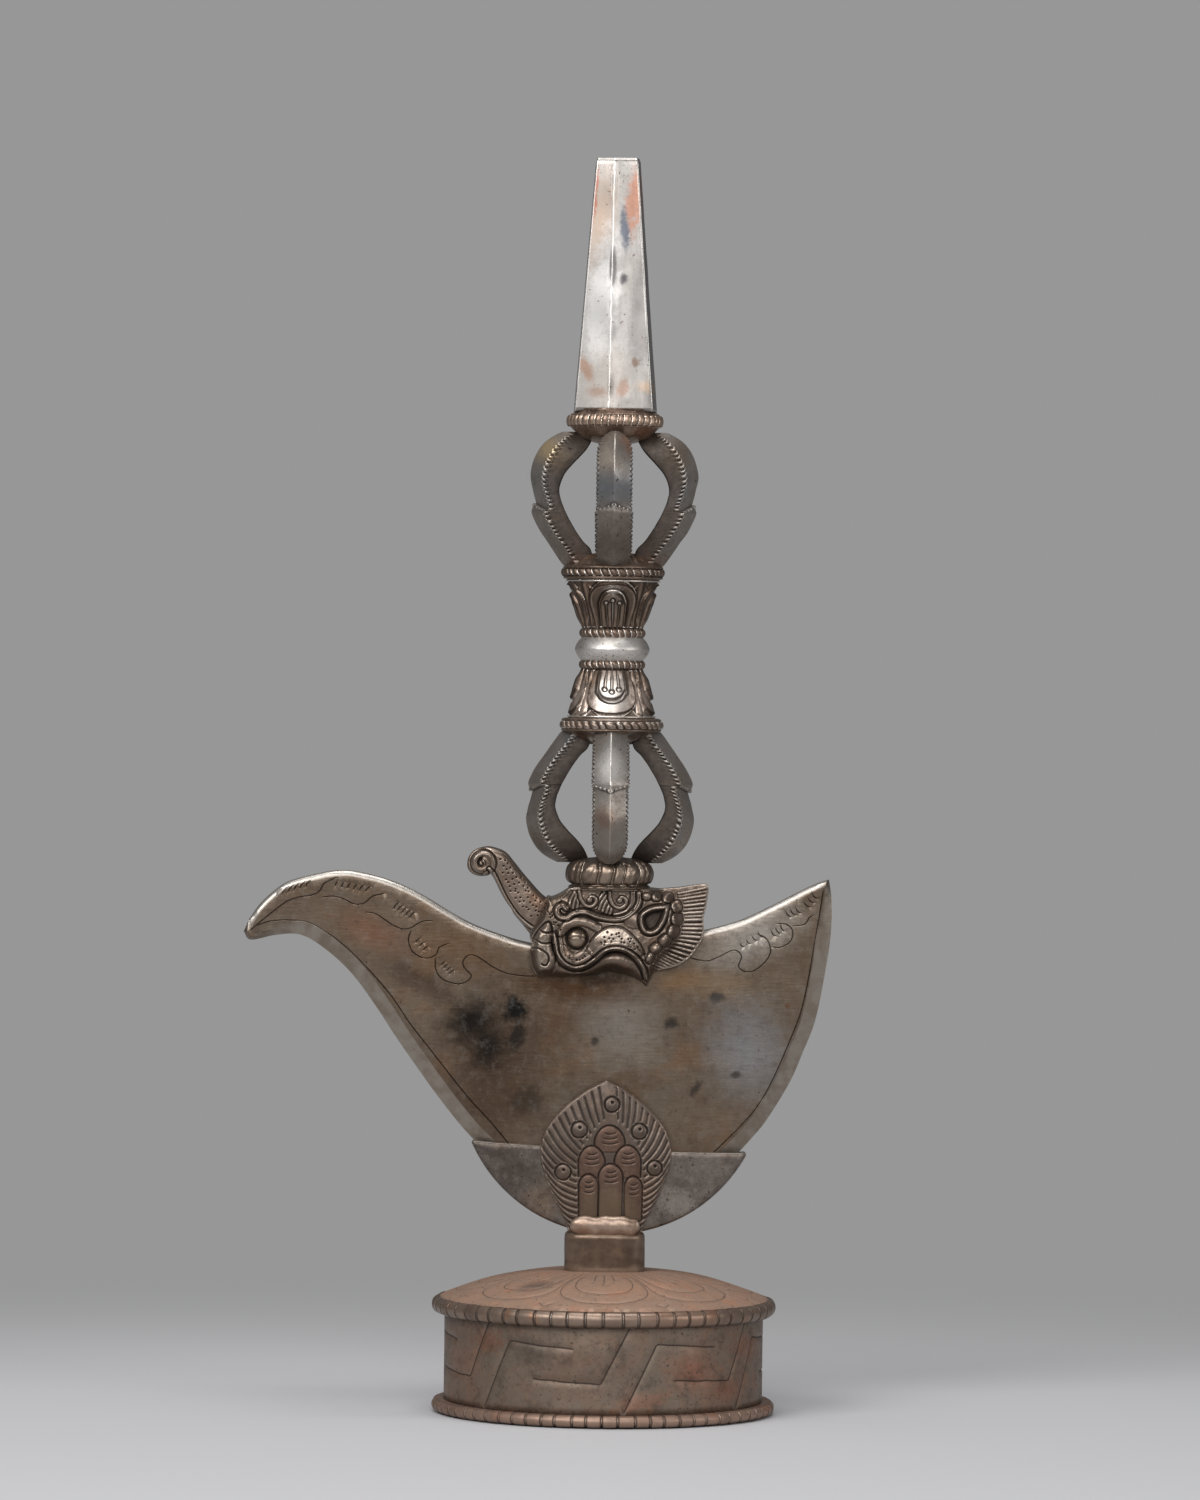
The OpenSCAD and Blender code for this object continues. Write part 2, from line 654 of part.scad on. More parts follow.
module head_back() {
    mirror([0, 1, 0]) head_half();
}

// Domed studs in both eye sockets
module eye_studs() {
    dome_r = eye_r * 1.15;
    dome_y = eye_seat + 3.4 - sqrt(dome_r * dome_r - eye_r * eye_r);
    color("slategray") for (side = [0, 1]) mirror([0, side, 0])
        translate([eye_at[0] * head_scale, 0, head_z + eye_at[1] * head_scale]) rotate([90, 0, 0]) {
            translate([0, 0, eye_seat]) cylinder(r = eye_r, h = 3.4);
            intersection() {
                translate([0, 0, dome_y]) sphere(dome_r, $fn = 48);
                translate([0, 0, eye_seat + 3.4]) cylinder(r = eye_r, h = dome_r);
            }
        }
}

// Rivets through the blade's root, inside the halves
module tang_pins() {
    color("gray") for (p = tang_pins_at) translate([p[0] * head_scale, 0, head_z + p[1] * head_scale])
        rotate([90, 0, 0]) cylinder(r = tang_pin_r, h = tang_pin_len, center = true);
}

// Trunk stations from the root to the scroll, as [upper x, upper z, lower x, lower z]
trunk_line = [
    [-26, 14, -32.4, -1.1], [-28.4, 16, -35.2, 2.4], [-31.9, 19.8, -38.7, 6.5],
    [-35.5, 23.9, -42.3, 12], [-39.4, 28.7, -44.8, 16.2], [-42.5, 32.2, -46.5, 19.6],
    [-46, 34.1, -47.8, 22.6], [-50.2, 34.7, -50.6, 25.6],
];
scroll_at = [-52.3, 28.4];

// Trunk: a flat tapering band with rounded edges that ends in a scroll
module trunk() {
    section = [[0, 0.62], [0.16, 0.94], [0.5, 1], [0.84, 0.94], [1, 0.62]];
    rings = [
        for (i = [0 : len(trunk_line) - 1])
            let (
                p = trunk_line[i], half_t = trunk_half_t * mix(1, 0.78, i / (len(trunk_line) - 1)),
                side = [for (q = section)
                    [mix(p[0], p[2], q[0]), half_t * q[1], mix(p[1], p[3], q[0])]]
            )
            concat(side, [for (k = [len(side) - 1 : -1 : 0]) [side[k][0], -side[k][1], side[k][2]]]),
    ];
    color("dimgray") translate([0, 0, head_z]) scale(head_scale) {
        loft(rings);
        translate([scroll_at[0], 0, scroll_at[1]]) rotate([90, 0, 0]) {
            cylinder(r = scroll_r, h = 2 * trunk_half_t, center = true, $fn = 48);
            cylinder(r = scroll_r * 0.45, h = 2 * trunk_half_t + 1.6, center = true, $fn = 32);
        }
    }
}

// Ribbed collar on the crown, with a thin flange under it
module neck_collar() {
    flange_h = 1.6;
    bulge = (collar_h - flange_h) / 2;
    color("dimgray") translate([0, 0, crown]) difference() {
        union() {
            cylinder(r = collar_r - 2, h = flange_h);
            rotate_extrude() {
                translate([collar_r - bulge, flange_h + bulge]) circle(bulge, $fn = 32);
                translate([0, flange_h]) square([collar_r - bulge, 2 * bulge]);
            }
        }
        around(collar_ribs) translate([collar_r + 0.3, 0, flange_h + 0.8])
            cylinder(r = 0.9, h = collar_h, $fn = 16);
        rod_hole(-1, collar_h + 1);
    }
}

// Iron rod through every piece of the grip
module handle_rod() {
    z0 = crown - rod_seat;
    color("gray") translate([0, 0, z0]) cylinder(r = rod_r, h = spike_z + spike_socket - z0);
}

// Prong stations from the hub to the far end, as [outer r, outer z, inner r, inner z] in a cage
// drawn 55 high and 34.4 in radius; the sleeve ends and the arch begins at station sleeve_end
prong_line = [
    [20.5, 0, 8.3, 0], [22, 1.8, 8.4, 3], [25, 5.5, 9.6, 7], [28.3, 10, 12.5, 10],
    [30.6, 14, 15.4, 14], [32.6, 18.2, 17.9, 18.2], [33.6, 21.6, 19.4, 21],
    [33, 24.4, 20.6, 23.6], [33.6, 29.5, 22, 27.5], [34.4, 35.5, 22.6, 32], [33.2, 41.2, 20.6, 37.5],
    [30.6, 46, 17, 42], [28.4, 49.4, 13.6, 44.5], [25.6, 51.8, 11.3, 46], [22.6, 53.6, 9.4, 48.4],
    [19.2, 55, 8.5, 55],
];
sleeve_end = 7;
chevron = 0.55;

// Cross-section of a prong at a station: a ridged roof over flat sides and a flat inner face.
// The ridge is read ahead of the edges by lead stations, which makes the sleeve's end a chevron.
function prong_section(cage_h, at, lead, proud) =
    let (
        k = min(at, len(prong_line) - 1.001),
        edge = station(k), ridge = station(min(k + lead, len(prong_line) - 1.001)),
        across = ridge_out(ridge) - ridge_in(ridge), across_edge = ridge_out(edge) - ridge_in(edge),
        way = across / norm(across), way_edge = across_edge / norm(across_edge),
        top = ridge_out(ridge) + way * proud,
        shoulder = ridge_out(edge) + way_edge * (proud - prong_roof),
        bottom = ridge_in(edge),
        half = prong_w / 2 + proud * 0.3,
        tall = cage_h / 55, wide = cage_r / 34.4
    )
    [
        [top[0] * wide, 0, top[1] * tall], [shoulder[0] * wide, half, shoulder[1] * tall],
        [bottom[0] * wide, half * 0.92, bottom[1] * tall],
        [bottom[0] * wide, -half * 0.92, bottom[1] * tall],
        [shoulder[0] * wide, -half, shoulder[1] * tall],
    ];
function station(k) = mix(prong_line[floor(k)], prong_line[floor(k) + 1], k - floor(k));
function ridge_out(s) = [s[0], s[1]];
function ridge_in(s) = [s[2], s[3]];

// One prong, standing on its hub, its foot and its far end cut flat
module prong(cage_h) {
    last = len(prong_line) - 1;
    intersection() {
        loft(concat(
            [prong_section(cage_h, 0, 0, 0)],
            [for (k = [1 : 0.5 : sleeve_end - 1])
                prong_section(cage_h, k, 0, sleeve_proud * ease(0, 3, k))],
            [prong_section(cage_h, sleeve_end - 0.4, chevron, sleeve_proud)],
            [prong_section(cage_h, sleeve_end - 0.3, chevron, 0)],
            [for (k = [sleeve_end + 0.5 : 0.5 : last]) prong_section(cage_h, k, 0, 0)]
        ));
        translate([0, 0, cage_h / 2]) cube([far, far, cage_h], center = true);
    }
}

// Prong number i of the lower cage, which hangs from its hub, or of the upper, which stands on it
module lower_prong(i) {
    color("slategray") translate([0, 0, hub_1]) rotate([0, 0, 90 * i]) mirror([0, 0, 1])
        prong(lower_cage_h);
}
module upper_prong(i) {
    color("slategray") translate([0, 0, cage_2]) rotate([0, 0, 90 * i]) prong(upper_cage_h);
}

// Beaded ring
module bead_ring(r, h, count) {
    notched_ring(rod_bore, r, h, count, 0.9, 0.9);
}

// Low cone between the prongs' feet, cut clear of them
module prong_boss(r0, r1, h) {
    slot = prong_w + 2 * sleeve_proud * 0.3 + 2 * fit_gap;
    difference() {
        cylinder(r1 = r0, r2 = r1, h = h);
        translate([-far / 2, -slot / 2, -1]) cube([far, slot, h + 2]);
        translate([-slot / 2, -far / 2, -1]) cube([slot, far, h + 2]);
    }
}

// Beaded ring that a cage springs from
module hub_ring() {
    bead_ring(hub_r, hub_h, hub_beads);
}
module lower_hub_ring() {
    color("dimgray") {
        translate([0, 0, hub_1]) hub_ring();
        translate([0, 0, hub_1]) mirror([0, 0, 1]) prong_boss(hub_r - 4, 12, 5);
    }
}
module upper_hub_ring() {
    color("dimgray") {
        translate([0, 0, hub_2]) hub_ring();
        translate([0, 0, cage_2]) prong_boss(hub_r - 4, 12, 5);
    }
}

// Lotus profile: radius at a height, slightly hollow, grown by proud
function lotus_profile(proud) = [
    [0, 0], [lotus_narrow_r + proud, 0],
    for (k = [1 : 5]) let (t = k / 6)
        [mix(lotus_narrow_r, lotus_wide_r, pow(t, 1.15)) + proud, lotus_h * t],
    [lotus_wide_r + proud, lotus_h], [0, lotus_h],
];

// Petal outline with a round top: half width at the foot and the shoulder, and its height
module petal_shape(foot, shoulder, top) {
    arc = [for (a = [0 : 15 : 180]) [shoulder * cos(a), top * 0.62 + top * 0.38 * sin(a)]];
    polygon(concat([[-foot, -1], [foot, -1]], arc));
}

// Part of the grown lotus cone that lies behind a petal outline
module petal(angle, proud, foot, shoulder, top) {
    intersection() {
        rotate_extrude() polygon(lotus_profile(proud));
        rotate([0, 0, angle]) translate([0, -lotus_narrow_r / 2, 0]) rotate([90, 0, 0])
            linear_extrude(lotus_wide_r) petal_shape(foot, shoulder, top);
    }
}

// Lotus with four broad petals and the tips of four more between them, wide end up
module lotus() {
    difference() {
        union() {
            rotate_extrude() polygon(lotus_profile(0));
            for (a = [0 : 90 : 270]) {
                petal(a, petal_t, 7.4, 10.2, lotus_h * 0.9);
                petal(a, petal_t * 1.6, 4, 5.2, lotus_h * 0.72);
                petal(a + 45, petal_t * 0.5, 3, 4.4, lotus_h);
            }
        }
        rod_hole(-1, lotus_h + 1);
    }
}
module lower_lotus() {
    color("gray") translate([0, 0, ring_1]) mirror([0, 0, 1]) lotus();
}
module upper_lotus() {
    color("gray") translate([0, 0, lotus_2]) lotus();
}
module lower_bead_ring() {
    color("gray") translate([0, 0, ring_1]) bead_ring(bead_ring_r, bead_ring_h, small_beads);
}
module upper_bead_ring() {
    color("gray") translate([0, 0, ring_2]) bead_ring(bead_ring_r, bead_ring_h, small_beads);
}

// Plain round knob: a bulge of one arc between flat ends
module grip_knob() {
    bulge = 2.6;
    bulge_r = (knob_h * knob_h / 4 + bulge * bulge) / (2 * bulge);
    color("silver") translate([0, 0, knob_z]) difference() {
        rotate_extrude() intersection() {
            translate([knob_r - bulge_r, knob_h / 2]) circle(bulge_r, $fn = 64);
            square([knob_r, knob_h]);
        }
        rod_hole(-1, knob_h + 1);
    }
}

// Beaded collar that carries the spike, with a flared saddle above its beads
module tip_collar() {
    bead_h = tip_collar_h * 0.72;
    saddle_r = tip_collar_r - bead_h / 2;
    color("peru") {
        translate([0, 0, tip_z]) bead_ring(tip_collar_r, bead_h, tip_beads);
        translate([0, 0, tip_z + bead_h]) difference() {
            cylinder(r1 = saddle_r, r2 = saddle_r + 0.6, h = tip_collar_h - bead_h);
            rod_hole(-1, tip_collar_h);
        }
        translate([0, 0, tip_z]) mirror([0, 0, 1]) prong_boss(tip_collar_r - 3, 11, 5);
    }
}

// Spike: four faces, each with a low ridge, drawn in towards a blunt top
module spike() {
    rings = [
        for (end = [[0, spike_foot, spike_foot_d], [spike_h, spike_top, spike_top_d]])
            let (w = end[1], d = end[2], p = spike_ridge * w / spike_foot)
            [[w, d, end[0]], [0, d + p, end[0]], [-w, d, end[0]], [-w - p / 2, 0, end[0]],
                [-w, -d, end[0]], [-w * 0.12, -d - p, end[0]], [w, -d, end[0]], [w + p / 2, 0, end[0]]],
    ];
    color("gainsboro") translate([0, 0, spike_z]) rotate([0, 0, spike_turn]) difference() {
        loft(rings);
        translate([0, 0, -1]) cylinder(r = rod_bore, h = spike_socket + 1 + fit_gap);
    }
}

base_ring();
bottom_plate();
drum_wall();
lid_rim();
lid_dome();
neck_block();
neck_washer();
cradle_front();
cradle_back();
cradle_keel();
leaf_front();
leaf_back();
braze_front();
braze_back();
blade();
head_front();
head_back();
trunk();
eye_studs();
tang_pins();
neck_collar();
handle_rod();
lower_prong(0);  // lower_prong_1
lower_prong(1);  // lower_prong_2
lower_prong(2);  // lower_prong_3
lower_prong(3);  // lower_prong_4
lower_hub_ring();
lower_lotus();
lower_bead_ring();
grip_knob();
upper_bead_ring();
upper_lotus();
upper_hub_ring();
upper_prong(0);  // upper_prong_1
upper_prong(1);  // upper_prong_2
upper_prong(2);  // upper_prong_3
upper_prong(3);  // upper_prong_4
tip_collar();
spike();
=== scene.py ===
"""A kartika chopper on its stand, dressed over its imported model: forged and cast surfaces,
their old iron, steel and bronze finishes, soft studio light and the camera.
Lengths in this file are millimetres, and become metres where a mesh is made.
"""
import json
import math

import bpy
import numpy as np
from mathutils import Matrix, Vector
from mathutils.geometry import delaunay_2d_cdt


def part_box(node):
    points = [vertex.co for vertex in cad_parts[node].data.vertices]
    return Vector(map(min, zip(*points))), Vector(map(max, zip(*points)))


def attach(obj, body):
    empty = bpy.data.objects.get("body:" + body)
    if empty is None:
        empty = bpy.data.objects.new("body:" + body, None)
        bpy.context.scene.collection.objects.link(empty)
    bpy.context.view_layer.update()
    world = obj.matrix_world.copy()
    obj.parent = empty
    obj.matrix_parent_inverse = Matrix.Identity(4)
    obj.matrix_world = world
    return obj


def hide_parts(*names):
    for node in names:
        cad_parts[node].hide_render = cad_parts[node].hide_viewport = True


MM = 0.001
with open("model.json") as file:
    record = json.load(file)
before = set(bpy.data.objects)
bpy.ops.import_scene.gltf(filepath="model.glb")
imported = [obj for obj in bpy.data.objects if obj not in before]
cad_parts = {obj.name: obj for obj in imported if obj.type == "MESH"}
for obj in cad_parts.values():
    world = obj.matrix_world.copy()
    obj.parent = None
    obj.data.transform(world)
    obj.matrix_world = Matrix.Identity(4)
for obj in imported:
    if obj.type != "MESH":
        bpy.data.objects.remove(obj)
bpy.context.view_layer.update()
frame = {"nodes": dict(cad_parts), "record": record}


# Shader arithmetic

class Signal:
    """The output of a node. Arithmetic on it adds Math nodes to its material."""

    def __init__(self, finish, socket):
        self.finish, self.socket = finish, socket

    def math(self, operation, *values):
        """The output of a Math node with these values or links."""
        return self.finish.node("ShaderNodeMath", {"operation": operation},
                                dict(enumerate(values)))

    def __add__(self, other):
        return self.math("ADD", self, other)

    def __sub__(self, other):
        return self.math("SUBTRACT", self, other)

    def __rsub__(self, other):
        return self.math("SUBTRACT", other, self)

    def __mul__(self, other):
        return self.math("MULTIPLY", self, other)

    __radd__ = __add__
    __rmul__ = __mul__

    def step(self, low, high):
        """0 at low and 1 at high with a smooth rise between them; low may be the larger."""
        return self.finish.node("ShaderNodeMapRange", {"interpolation_type": "SMOOTHSTEP"},
                                {"Value": self, "From Min": low, "From Max": high})


def shade(red, green, blue):
    """A colour given as 0-255 screen values, as the linear colour that a shader takes."""
    share = np.array([red, green, blue]) / 255
    linear = np.where(share <= 0.04045, share / 12.92, ((share + 0.055) / 1.055) ** 2.4)
    return (*linear.tolist(), 1.0)


class Finish:
    """A material: its Principled shader, and the nodes that feed it."""

    def __init__(self, name):
        self.material = bpy.data.materials.new(name)
        self.material.use_nodes = True
        self.tree = self.material.node_tree
        self.shader = self.tree.nodes["Principled BSDF"]
        self.place = self.node("ShaderNodeTexCoord", output="Object")

    def node(self, kind, settings=None, inputs=None, output=0):
        """A node of that kind: its settings first, then the values or links of its sockets."""
        node = self.tree.nodes.new(kind)
        for setting, value in (settings or {}).items():
            setattr(node, setting, value)
        for socket, value in (inputs or {}).items():
            self.feed(node.inputs[socket], value)
        return Signal(self, node.outputs[output])

    def feed(self, socket, value):
        """Links a Signal to a socket, or sets the socket's own value."""
        if isinstance(value, Signal):
            self.tree.links.new(value.socket, socket)
        else:
            socket.default_value = value

    def wear(self, **inputs):
        """Sets the shader's own sockets, named with _ for a space."""
        for socket, value in inputs.items():
            self.feed(self.shader.inputs[socket.replace("_", " ")], value)

    def noise(self, size, detail, rough, stretch=(1, 1, 1), turn=(0, 0, 0), seed=0):
        """Cloudy noise whose lumps are about `size`, longer along an axis by its stretch."""
        place = self.node("ShaderNodeMapping", None, {
            "Vector": self.place, "Location": (7.3 * seed, 3.1 * seed, 5.7 * seed),
            "Rotation": turn, "Scale": tuple(1 / (size * MM * s) for s in stretch)})
        return self.node("ShaderNodeTexNoise", None, {
            "Vector": place, "Scale": 1.0, "Detail": detail, "Roughness": rough})

    def patch(self, at, reach, turn, soft, ragged=0.0, fray=None):
        """1 at the point `at`, falling to 0 at the ellipsoid with half axes `reach` about it.
        The noise `fray` moves that edge in and out by `ragged` of the reach."""
        place = self.node("ShaderNodeMapping", {"vector_type": "TEXTURE"}, {
            "Vector": self.place, "Location": tuple(c * MM for c in at),
            "Rotation": (0, math.radians(turn), 0), "Scale": tuple(c * MM for c in reach)})
        away = self.node("ShaderNodeVectorMath", {"operation": "LENGTH"}, {0: place}, "Value")
        if fray is not None:
            away = away + (fray - 0.5) * (2 * ragged)
        return away.step(1.0, 1.0 - soft)

    def mark(self, name):
        """The value of a mesh's own attribute, 0 where the mesh has none."""
        return self.node("ShaderNodeAttribute", {"attribute_name": name}, None, "Fac")

    def blend(self, share, first, second):
        """The first colour where share is 0, the second where it is 1."""
        return self.node("ShaderNodeMix", {"data_type": "RGBA"},
                         {0: share, 6: first, 7: second}, 2)

    def relief(self, height, depth):
        """Normals of a fine relief, `depth` high where height is 1."""
        return self.node("ShaderNodeBump", None, {
            "Strength": 1.0, "Distance": depth * MM, "Height": height}, "Normal")


finishes = {}
# Half width, in mm, over which a stain or painted patch fades from its middle and has a less ragged
# edge
LARGE_PATCH = 8.5


def aged(name, tones, recess, wear_and_highlight_tone, rough=0.42, metal=0.8, lumps=22.0, grain=0.9, grit=0.3,
         stains_and_painted_light=(), mottle=None, brushing=None, pitting=0.05, specks=None, extra=None):
    """Old worked metal, kept in `finishes`. Two or three tones drift over it in lumps, fine
    grain mottles them, and patches of stain, painted shadow and painted highlight lie on them.
    Grime and painted shade in the colour `recess` fill the recesses, and the ridges take the
    colour `wear_and_highlight_tone` as wear and as a painted highlight. The mark `hollow` is
    above 0 in a recess and below 0 on a ridge. An entry of `stains_and_painted_light` is a
    centre, half axes, a turn in degrees, a colour and a strength; `mottle` is a size and a
    strength; `specks` a colour, a size and two levels of the noise; `brushing` a size, a
    stretch, a turn and a depth."""
    finish = Finish(name)
    drift = finish.noise(lumps, 4, 0.6)
    grains = finish.noise(grain, 3, 0.65, seed=2)
    cloud = finish.noise(lumps * 0.22, 3, 0.6, seed=4)
    share = (drift * 0.65 + cloud * 0.35).step(0.36, 0.62)
    colour = finish.blend(share, shade(*tones[0]), shade(*tones[1]))
    if len(tones) > 2:
        third = finish.noise(lumps * 0.8, 3, 0.6, seed=9).step(0.55, 0.72)
        colour = finish.blend(third * 0.8, colour, shade(*tones[2]))
    roughness = rough + (cloud - 0.5) * 0.16 + (grains - 0.5) * 0.12
    fray = (cloud + finish.noise(lumps * 0.07, 4, 0.7, seed=12)) * 0.5 if stains_and_painted_light else None
    for at, reach, turn, tone, amount in stains_and_painted_light:
        soft, ragged = (1.0, 0.5) if min(reach[0], reach[2]) > LARGE_PATCH else (0.7, 1.1)
        spread = finish.patch(at, reach, turn, soft, ragged, fray) * amount
        colour = finish.blend(spread, colour, shade(*tone))
    if mottle:
        size, amount = mottle
        blots = finish.noise(size, 5, 0.72, seed=15)
        colour = finish.blend(blots.step(0.5, 0.68) * amount, colour, shade(*recess))
        colour = finish.blend(blots.step(0.5, 0.34) * (amount * 0.3), colour, shade(*wear_and_highlight_tone))
        roughness = roughness + (blots - 0.5) * 0.2
    if specks:
        tone, size, low, high = specks
        dots = finish.noise(size, 2, 0.5, seed=6).step(low, high)
        colour = finish.blend(dots, colour, shade(*tone))
        roughness = roughness + dots * 0.15
    if brushing:
        size, stretch, turn, depth = brushing
        lines = finish.noise(size, 2, 0.5, stretch, turn, seed=3)
        roughness = roughness + (lines - 0.5) * 0.12
        height = grains * 0.5 + lines * 1.2
    else:
        height = grains + cloud * 0.6
        depth = pitting
    hollow = finish.mark("hollow")
    # Recesses darken as grime and painted shade; ridges lighten as wear and as a painted highlight.
    dirt_and_shade = hollow.step(0.10, 0.9) * 0.85
    shine = hollow.step(-0.12, -0.9) * (0.35 + grains * 0.8)
    colour = finish.blend(dirt_and_shade, colour, shade(*recess))
    colour = finish.blend(shine, colour, shade(*wear_and_highlight_tone))
    colour = finish.blend((grains - 0.5).step(0.05, 0.28) * grit, colour, shade(*recess))
    if extra:
        colour, roughness = extra(finish, colour, roughness, cloud)
    finish.wear(Base_Color=colour, Metallic=metal,
                Roughness=roughness + dirt_and_shade * 0.25 - shine * 0.14,
                Normal=finish.relief(height, depth))
    finishes[name] = finish.material


# Surfaces

def curve(points, steps, closed=False):
    """Catmull-Rom curve: a cubic between each two points, leaving each one parallel to the
    line through its two neighbours."""
    p = np.asarray(points, float)
    if closed:
        a, b, c, d = np.roll(p, 1, 0), p, np.roll(p, -1, 0), np.roll(p, -2, 0)
    else:
        e = np.vstack([2 * p[:1] - p[1:2], p, 2 * p[-1:] - p[-2:-1]])
        a, b, c, d = e[:-3], e[1:-2], e[2:-1], e[3:]
    a, b, c, d = (q[:, None, :] for q in (a, b, c, d))
    t = (np.arange(steps) / steps)[None, :, None]
    line = 0.5 * (2 * b + (c - a) * t + (2 * a - 5 * b + 4 * c - d) * t ** 2
                  + (3 * b - a - 3 * c + d) * t ** 3)
    line = line.reshape(-1, p.shape[1])
    return line if closed else np.vstack([line, p[-1:]])


def paced(line, step):
    """The same polyline, walked in equal paces of about `step`."""
    line = np.asarray(line, float)
    along = np.concatenate([[0], np.cumsum(np.linalg.norm(np.diff(line[:, :2], axis=0), axis=1))])
    walk = np.linspace(0, along[-1], max(2, int(round(along[-1] / step)) + 1))
    return np.stack([np.interp(walk, along, line[:, k]) for k in range(line.shape[1])], 1)


def ring_of(line):
    """A closed outline with its first point added again at its end."""
    return np.vstack([line, line[:1]])


def circle(count):
    """That many equal angles round a whole turn."""
    return np.linspace(0, 2 * np.pi, count + 1)[:-1]


def rotated(x, y, turn):
    """Two coordinates turned about the origin by an angle in radians."""
    return x * math.cos(turn) - y * math.sin(turn), x * math.sin(turn) + y * math.cos(turn)


def both_halves(line):
    """A line that ends on x = 0, carried on by its own mirror image."""
    return np.vstack([line, line[-2::-1] * [-1, 1]])


def to_line(x, z, line):
    """Distance from each point to the nearest place on a polyline, and how far along it that
    place is; columns of the line past the first two are interpolated there too."""
    line = np.asarray(line, float)
    best = np.full(x.shape, 1e9)
    found = np.zeros((1 + line.shape[1] - 2,) + x.shape)
    start = 0.0
    for a, b in zip(line[:-1], line[1:]):
        run = b[:2] - a[:2]
        size = math.hypot(*run)
        if size < 1e-9:
            continue
        t = np.clip(((x - a[0]) * run[0] + (z - a[1]) * run[1]) / size ** 2, 0, 1)
        away = np.hypot(x - a[0] - t * run[0], z - a[1] - t * run[1])
        near = away < best
        best = np.where(near, away, best)
        found[0] = np.where(near, start + t * size, found[0])
        for k in range(2, line.shape[1]):
            found[k - 1] = np.where(near, a[k] + t * (b[k] - a[k]), found[k - 1])
        start += size
    return best, found


def from_line(x, z, line):
    """Distance alone from each point to a polyline."""
    return to_line(x, z, line)[0]


def inside(x, z, outline):
    """True where a level ray from the point crosses the closed outline an odd number of times."""
    odd = np.zeros(x.shape, bool)
    for (ax, az), (bx, bz) in zip(outline[:, :2], np.roll(outline[:, :2], -1, 0)):
        if az != bz:
            odd ^= ((az > z) != (bz > z)) & (x < (bx - ax) * (z - az) / (bz - az) + ax)
    return odd


def rise(value, low, high):
    """0 below low, 1 above high, and 3t^2 - 2t^3 between them."""
    t = np.clip((value - low) / (high - low), 0, 1)
    return t * t * (3 - 2 * t)


def bell(away, half):
    """(1 - (d / half)^2)^2 within half of a line, 0 outside it."""
    return np.clip(1 - (away / half) ** 2, 0, 1) ** 2


def vee(away, half):
    """1 on a line, falling straight to 0 at half from it."""
    return np.clip(1 - np.abs(away) / half, 0, 1)


def round_over(away, half):
    """The half ellipse sqrt(1 - (d / half)^2) over a line or a point, 0 outside it."""
    return np.sqrt(np.clip(1 - (away / half) ** 2, 0, 1))


def culled(x, z, line, reach):
    """The numbers of the points within reach of the polyline's box, and to_line for them."""
    line = np.asarray(line, float)
    low, high = line[:, :2].min(0) - reach, line[:, :2].max(0) + reach
    some = np.flatnonzero((x > low[0]) & (x < high[0]) & (z > low[1]) & (z < high[1]))
    away, found = to_line(x[some], z[some], line)
    return some, away, found


def strokes(x, z, lines, half, depth, taper):
    """The deepest of many strokes at each point: each is a bell of that half width and depth,
    whose ends run out over `taper`."""
    total = np.zeros(x.shape)
    for line in lines:
        some, away, found = culled(x, z, line, half)
        size = np.linalg.norm(np.diff(np.asarray(line)[:, :2], axis=0), axis=1).sum()
        ends = rise(np.minimum(found[0], size - found[0]), -0.3 * taper, taper)
        total[some] = np.maximum(total[some], depth * ends * bell(away, half))
    return total


def filled(outline, step, rails=()):
    """Points and triangles that fill a closed outline: a hexagonal grid of that step, which
    stays 0.55 of it clear of the outline and of the rails, joined to them by a constrained
    Delaunay triangulation."""
    outline = np.asarray(outline, float)[:, :2]
    low, high = outline.min(0), outline.max(0)
    rows = np.arange(low[1] + step / 3, high[1], step * 0.866)
    x = np.arange(low[0], high[0] + step, step)[None, :] + (np.arange(len(rows)) % 2)[:, None] \
        * step / 2
    z = np.broadcast_to(rows[:, None], x.shape)
    x, z = x.ravel(), z.ravel()
    some = inside(x, z, outline)
    x, z = x[some], z[some]
    clear = np.ones(len(x), bool)
    lines = [ring_of(outline)] + [np.asarray(r, float)[:, :2] for r in rails]
    for line in lines:
        some, away, _ = culled(x, z, line, step)
        clear[some[away < 0.55 * step]] = False
    points, edges = [outline], [(i, (i + 1) % len(outline)) for i in range(len(outline))]
    count = len(outline)
    for line in lines[1:]:
        points.append(line)
        edges += [(count + i, count + i + 1) for i in range(len(line) - 1)]
        count += len(line)
    points.append(np.stack([x[clear], z[clear]], 1))
    flat = np.vstack(points)
    out = delaunay_2d_cdt([Vector(p) for p in flat.tolist()], edges, [], 1, 1e-5, False)
    flat = np.array([tuple(v) for v in out[0]])
    triangles = np.array([f for f in out[2] if len(f) == 3])
    middle = flat[triangles].mean(1)
    return flat, triangles[inside(middle[:, 0], middle[:, 1], outline)]


def open_edges(triangles, count):
    """The two ends of every edge that only one triangle has, in that triangle's direction."""
    ways = np.vstack([triangles[:, [0, 1]], triangles[:, [1, 2]], triangles[:, [2, 0]]])
    return ways[~np.isin(ways[:, 0] * count + ways[:, 1], ways[:, 1] * count + ways[:, 0])]


def walled(triangles, count, edges):
    """The triangles of a sheet and of its copy behind it, and a wall along those edges."""
    a, b = edges.T
    wall = np.vstack([np.stack([b, a, a + count], 1), np.stack([b, a + count, b + count], 1)])
    return np.vstack([triangles, triangles[:, ::-1] + count, wall])


def solid(flat, triangles, front, back):
    """A filled outline given its thickness: the front at y = -front and the back at y = back,
    joined by a wall along the open edges."""
    count = len(flat)
    points = np.vstack([np.stack([flat[:, 0], -front, flat[:, 1]], 1),
                        np.stack([flat[:, 0], back, flat[:, 1]], 1)])
    return points, walled(triangles, count, open_edges(triangles, count))


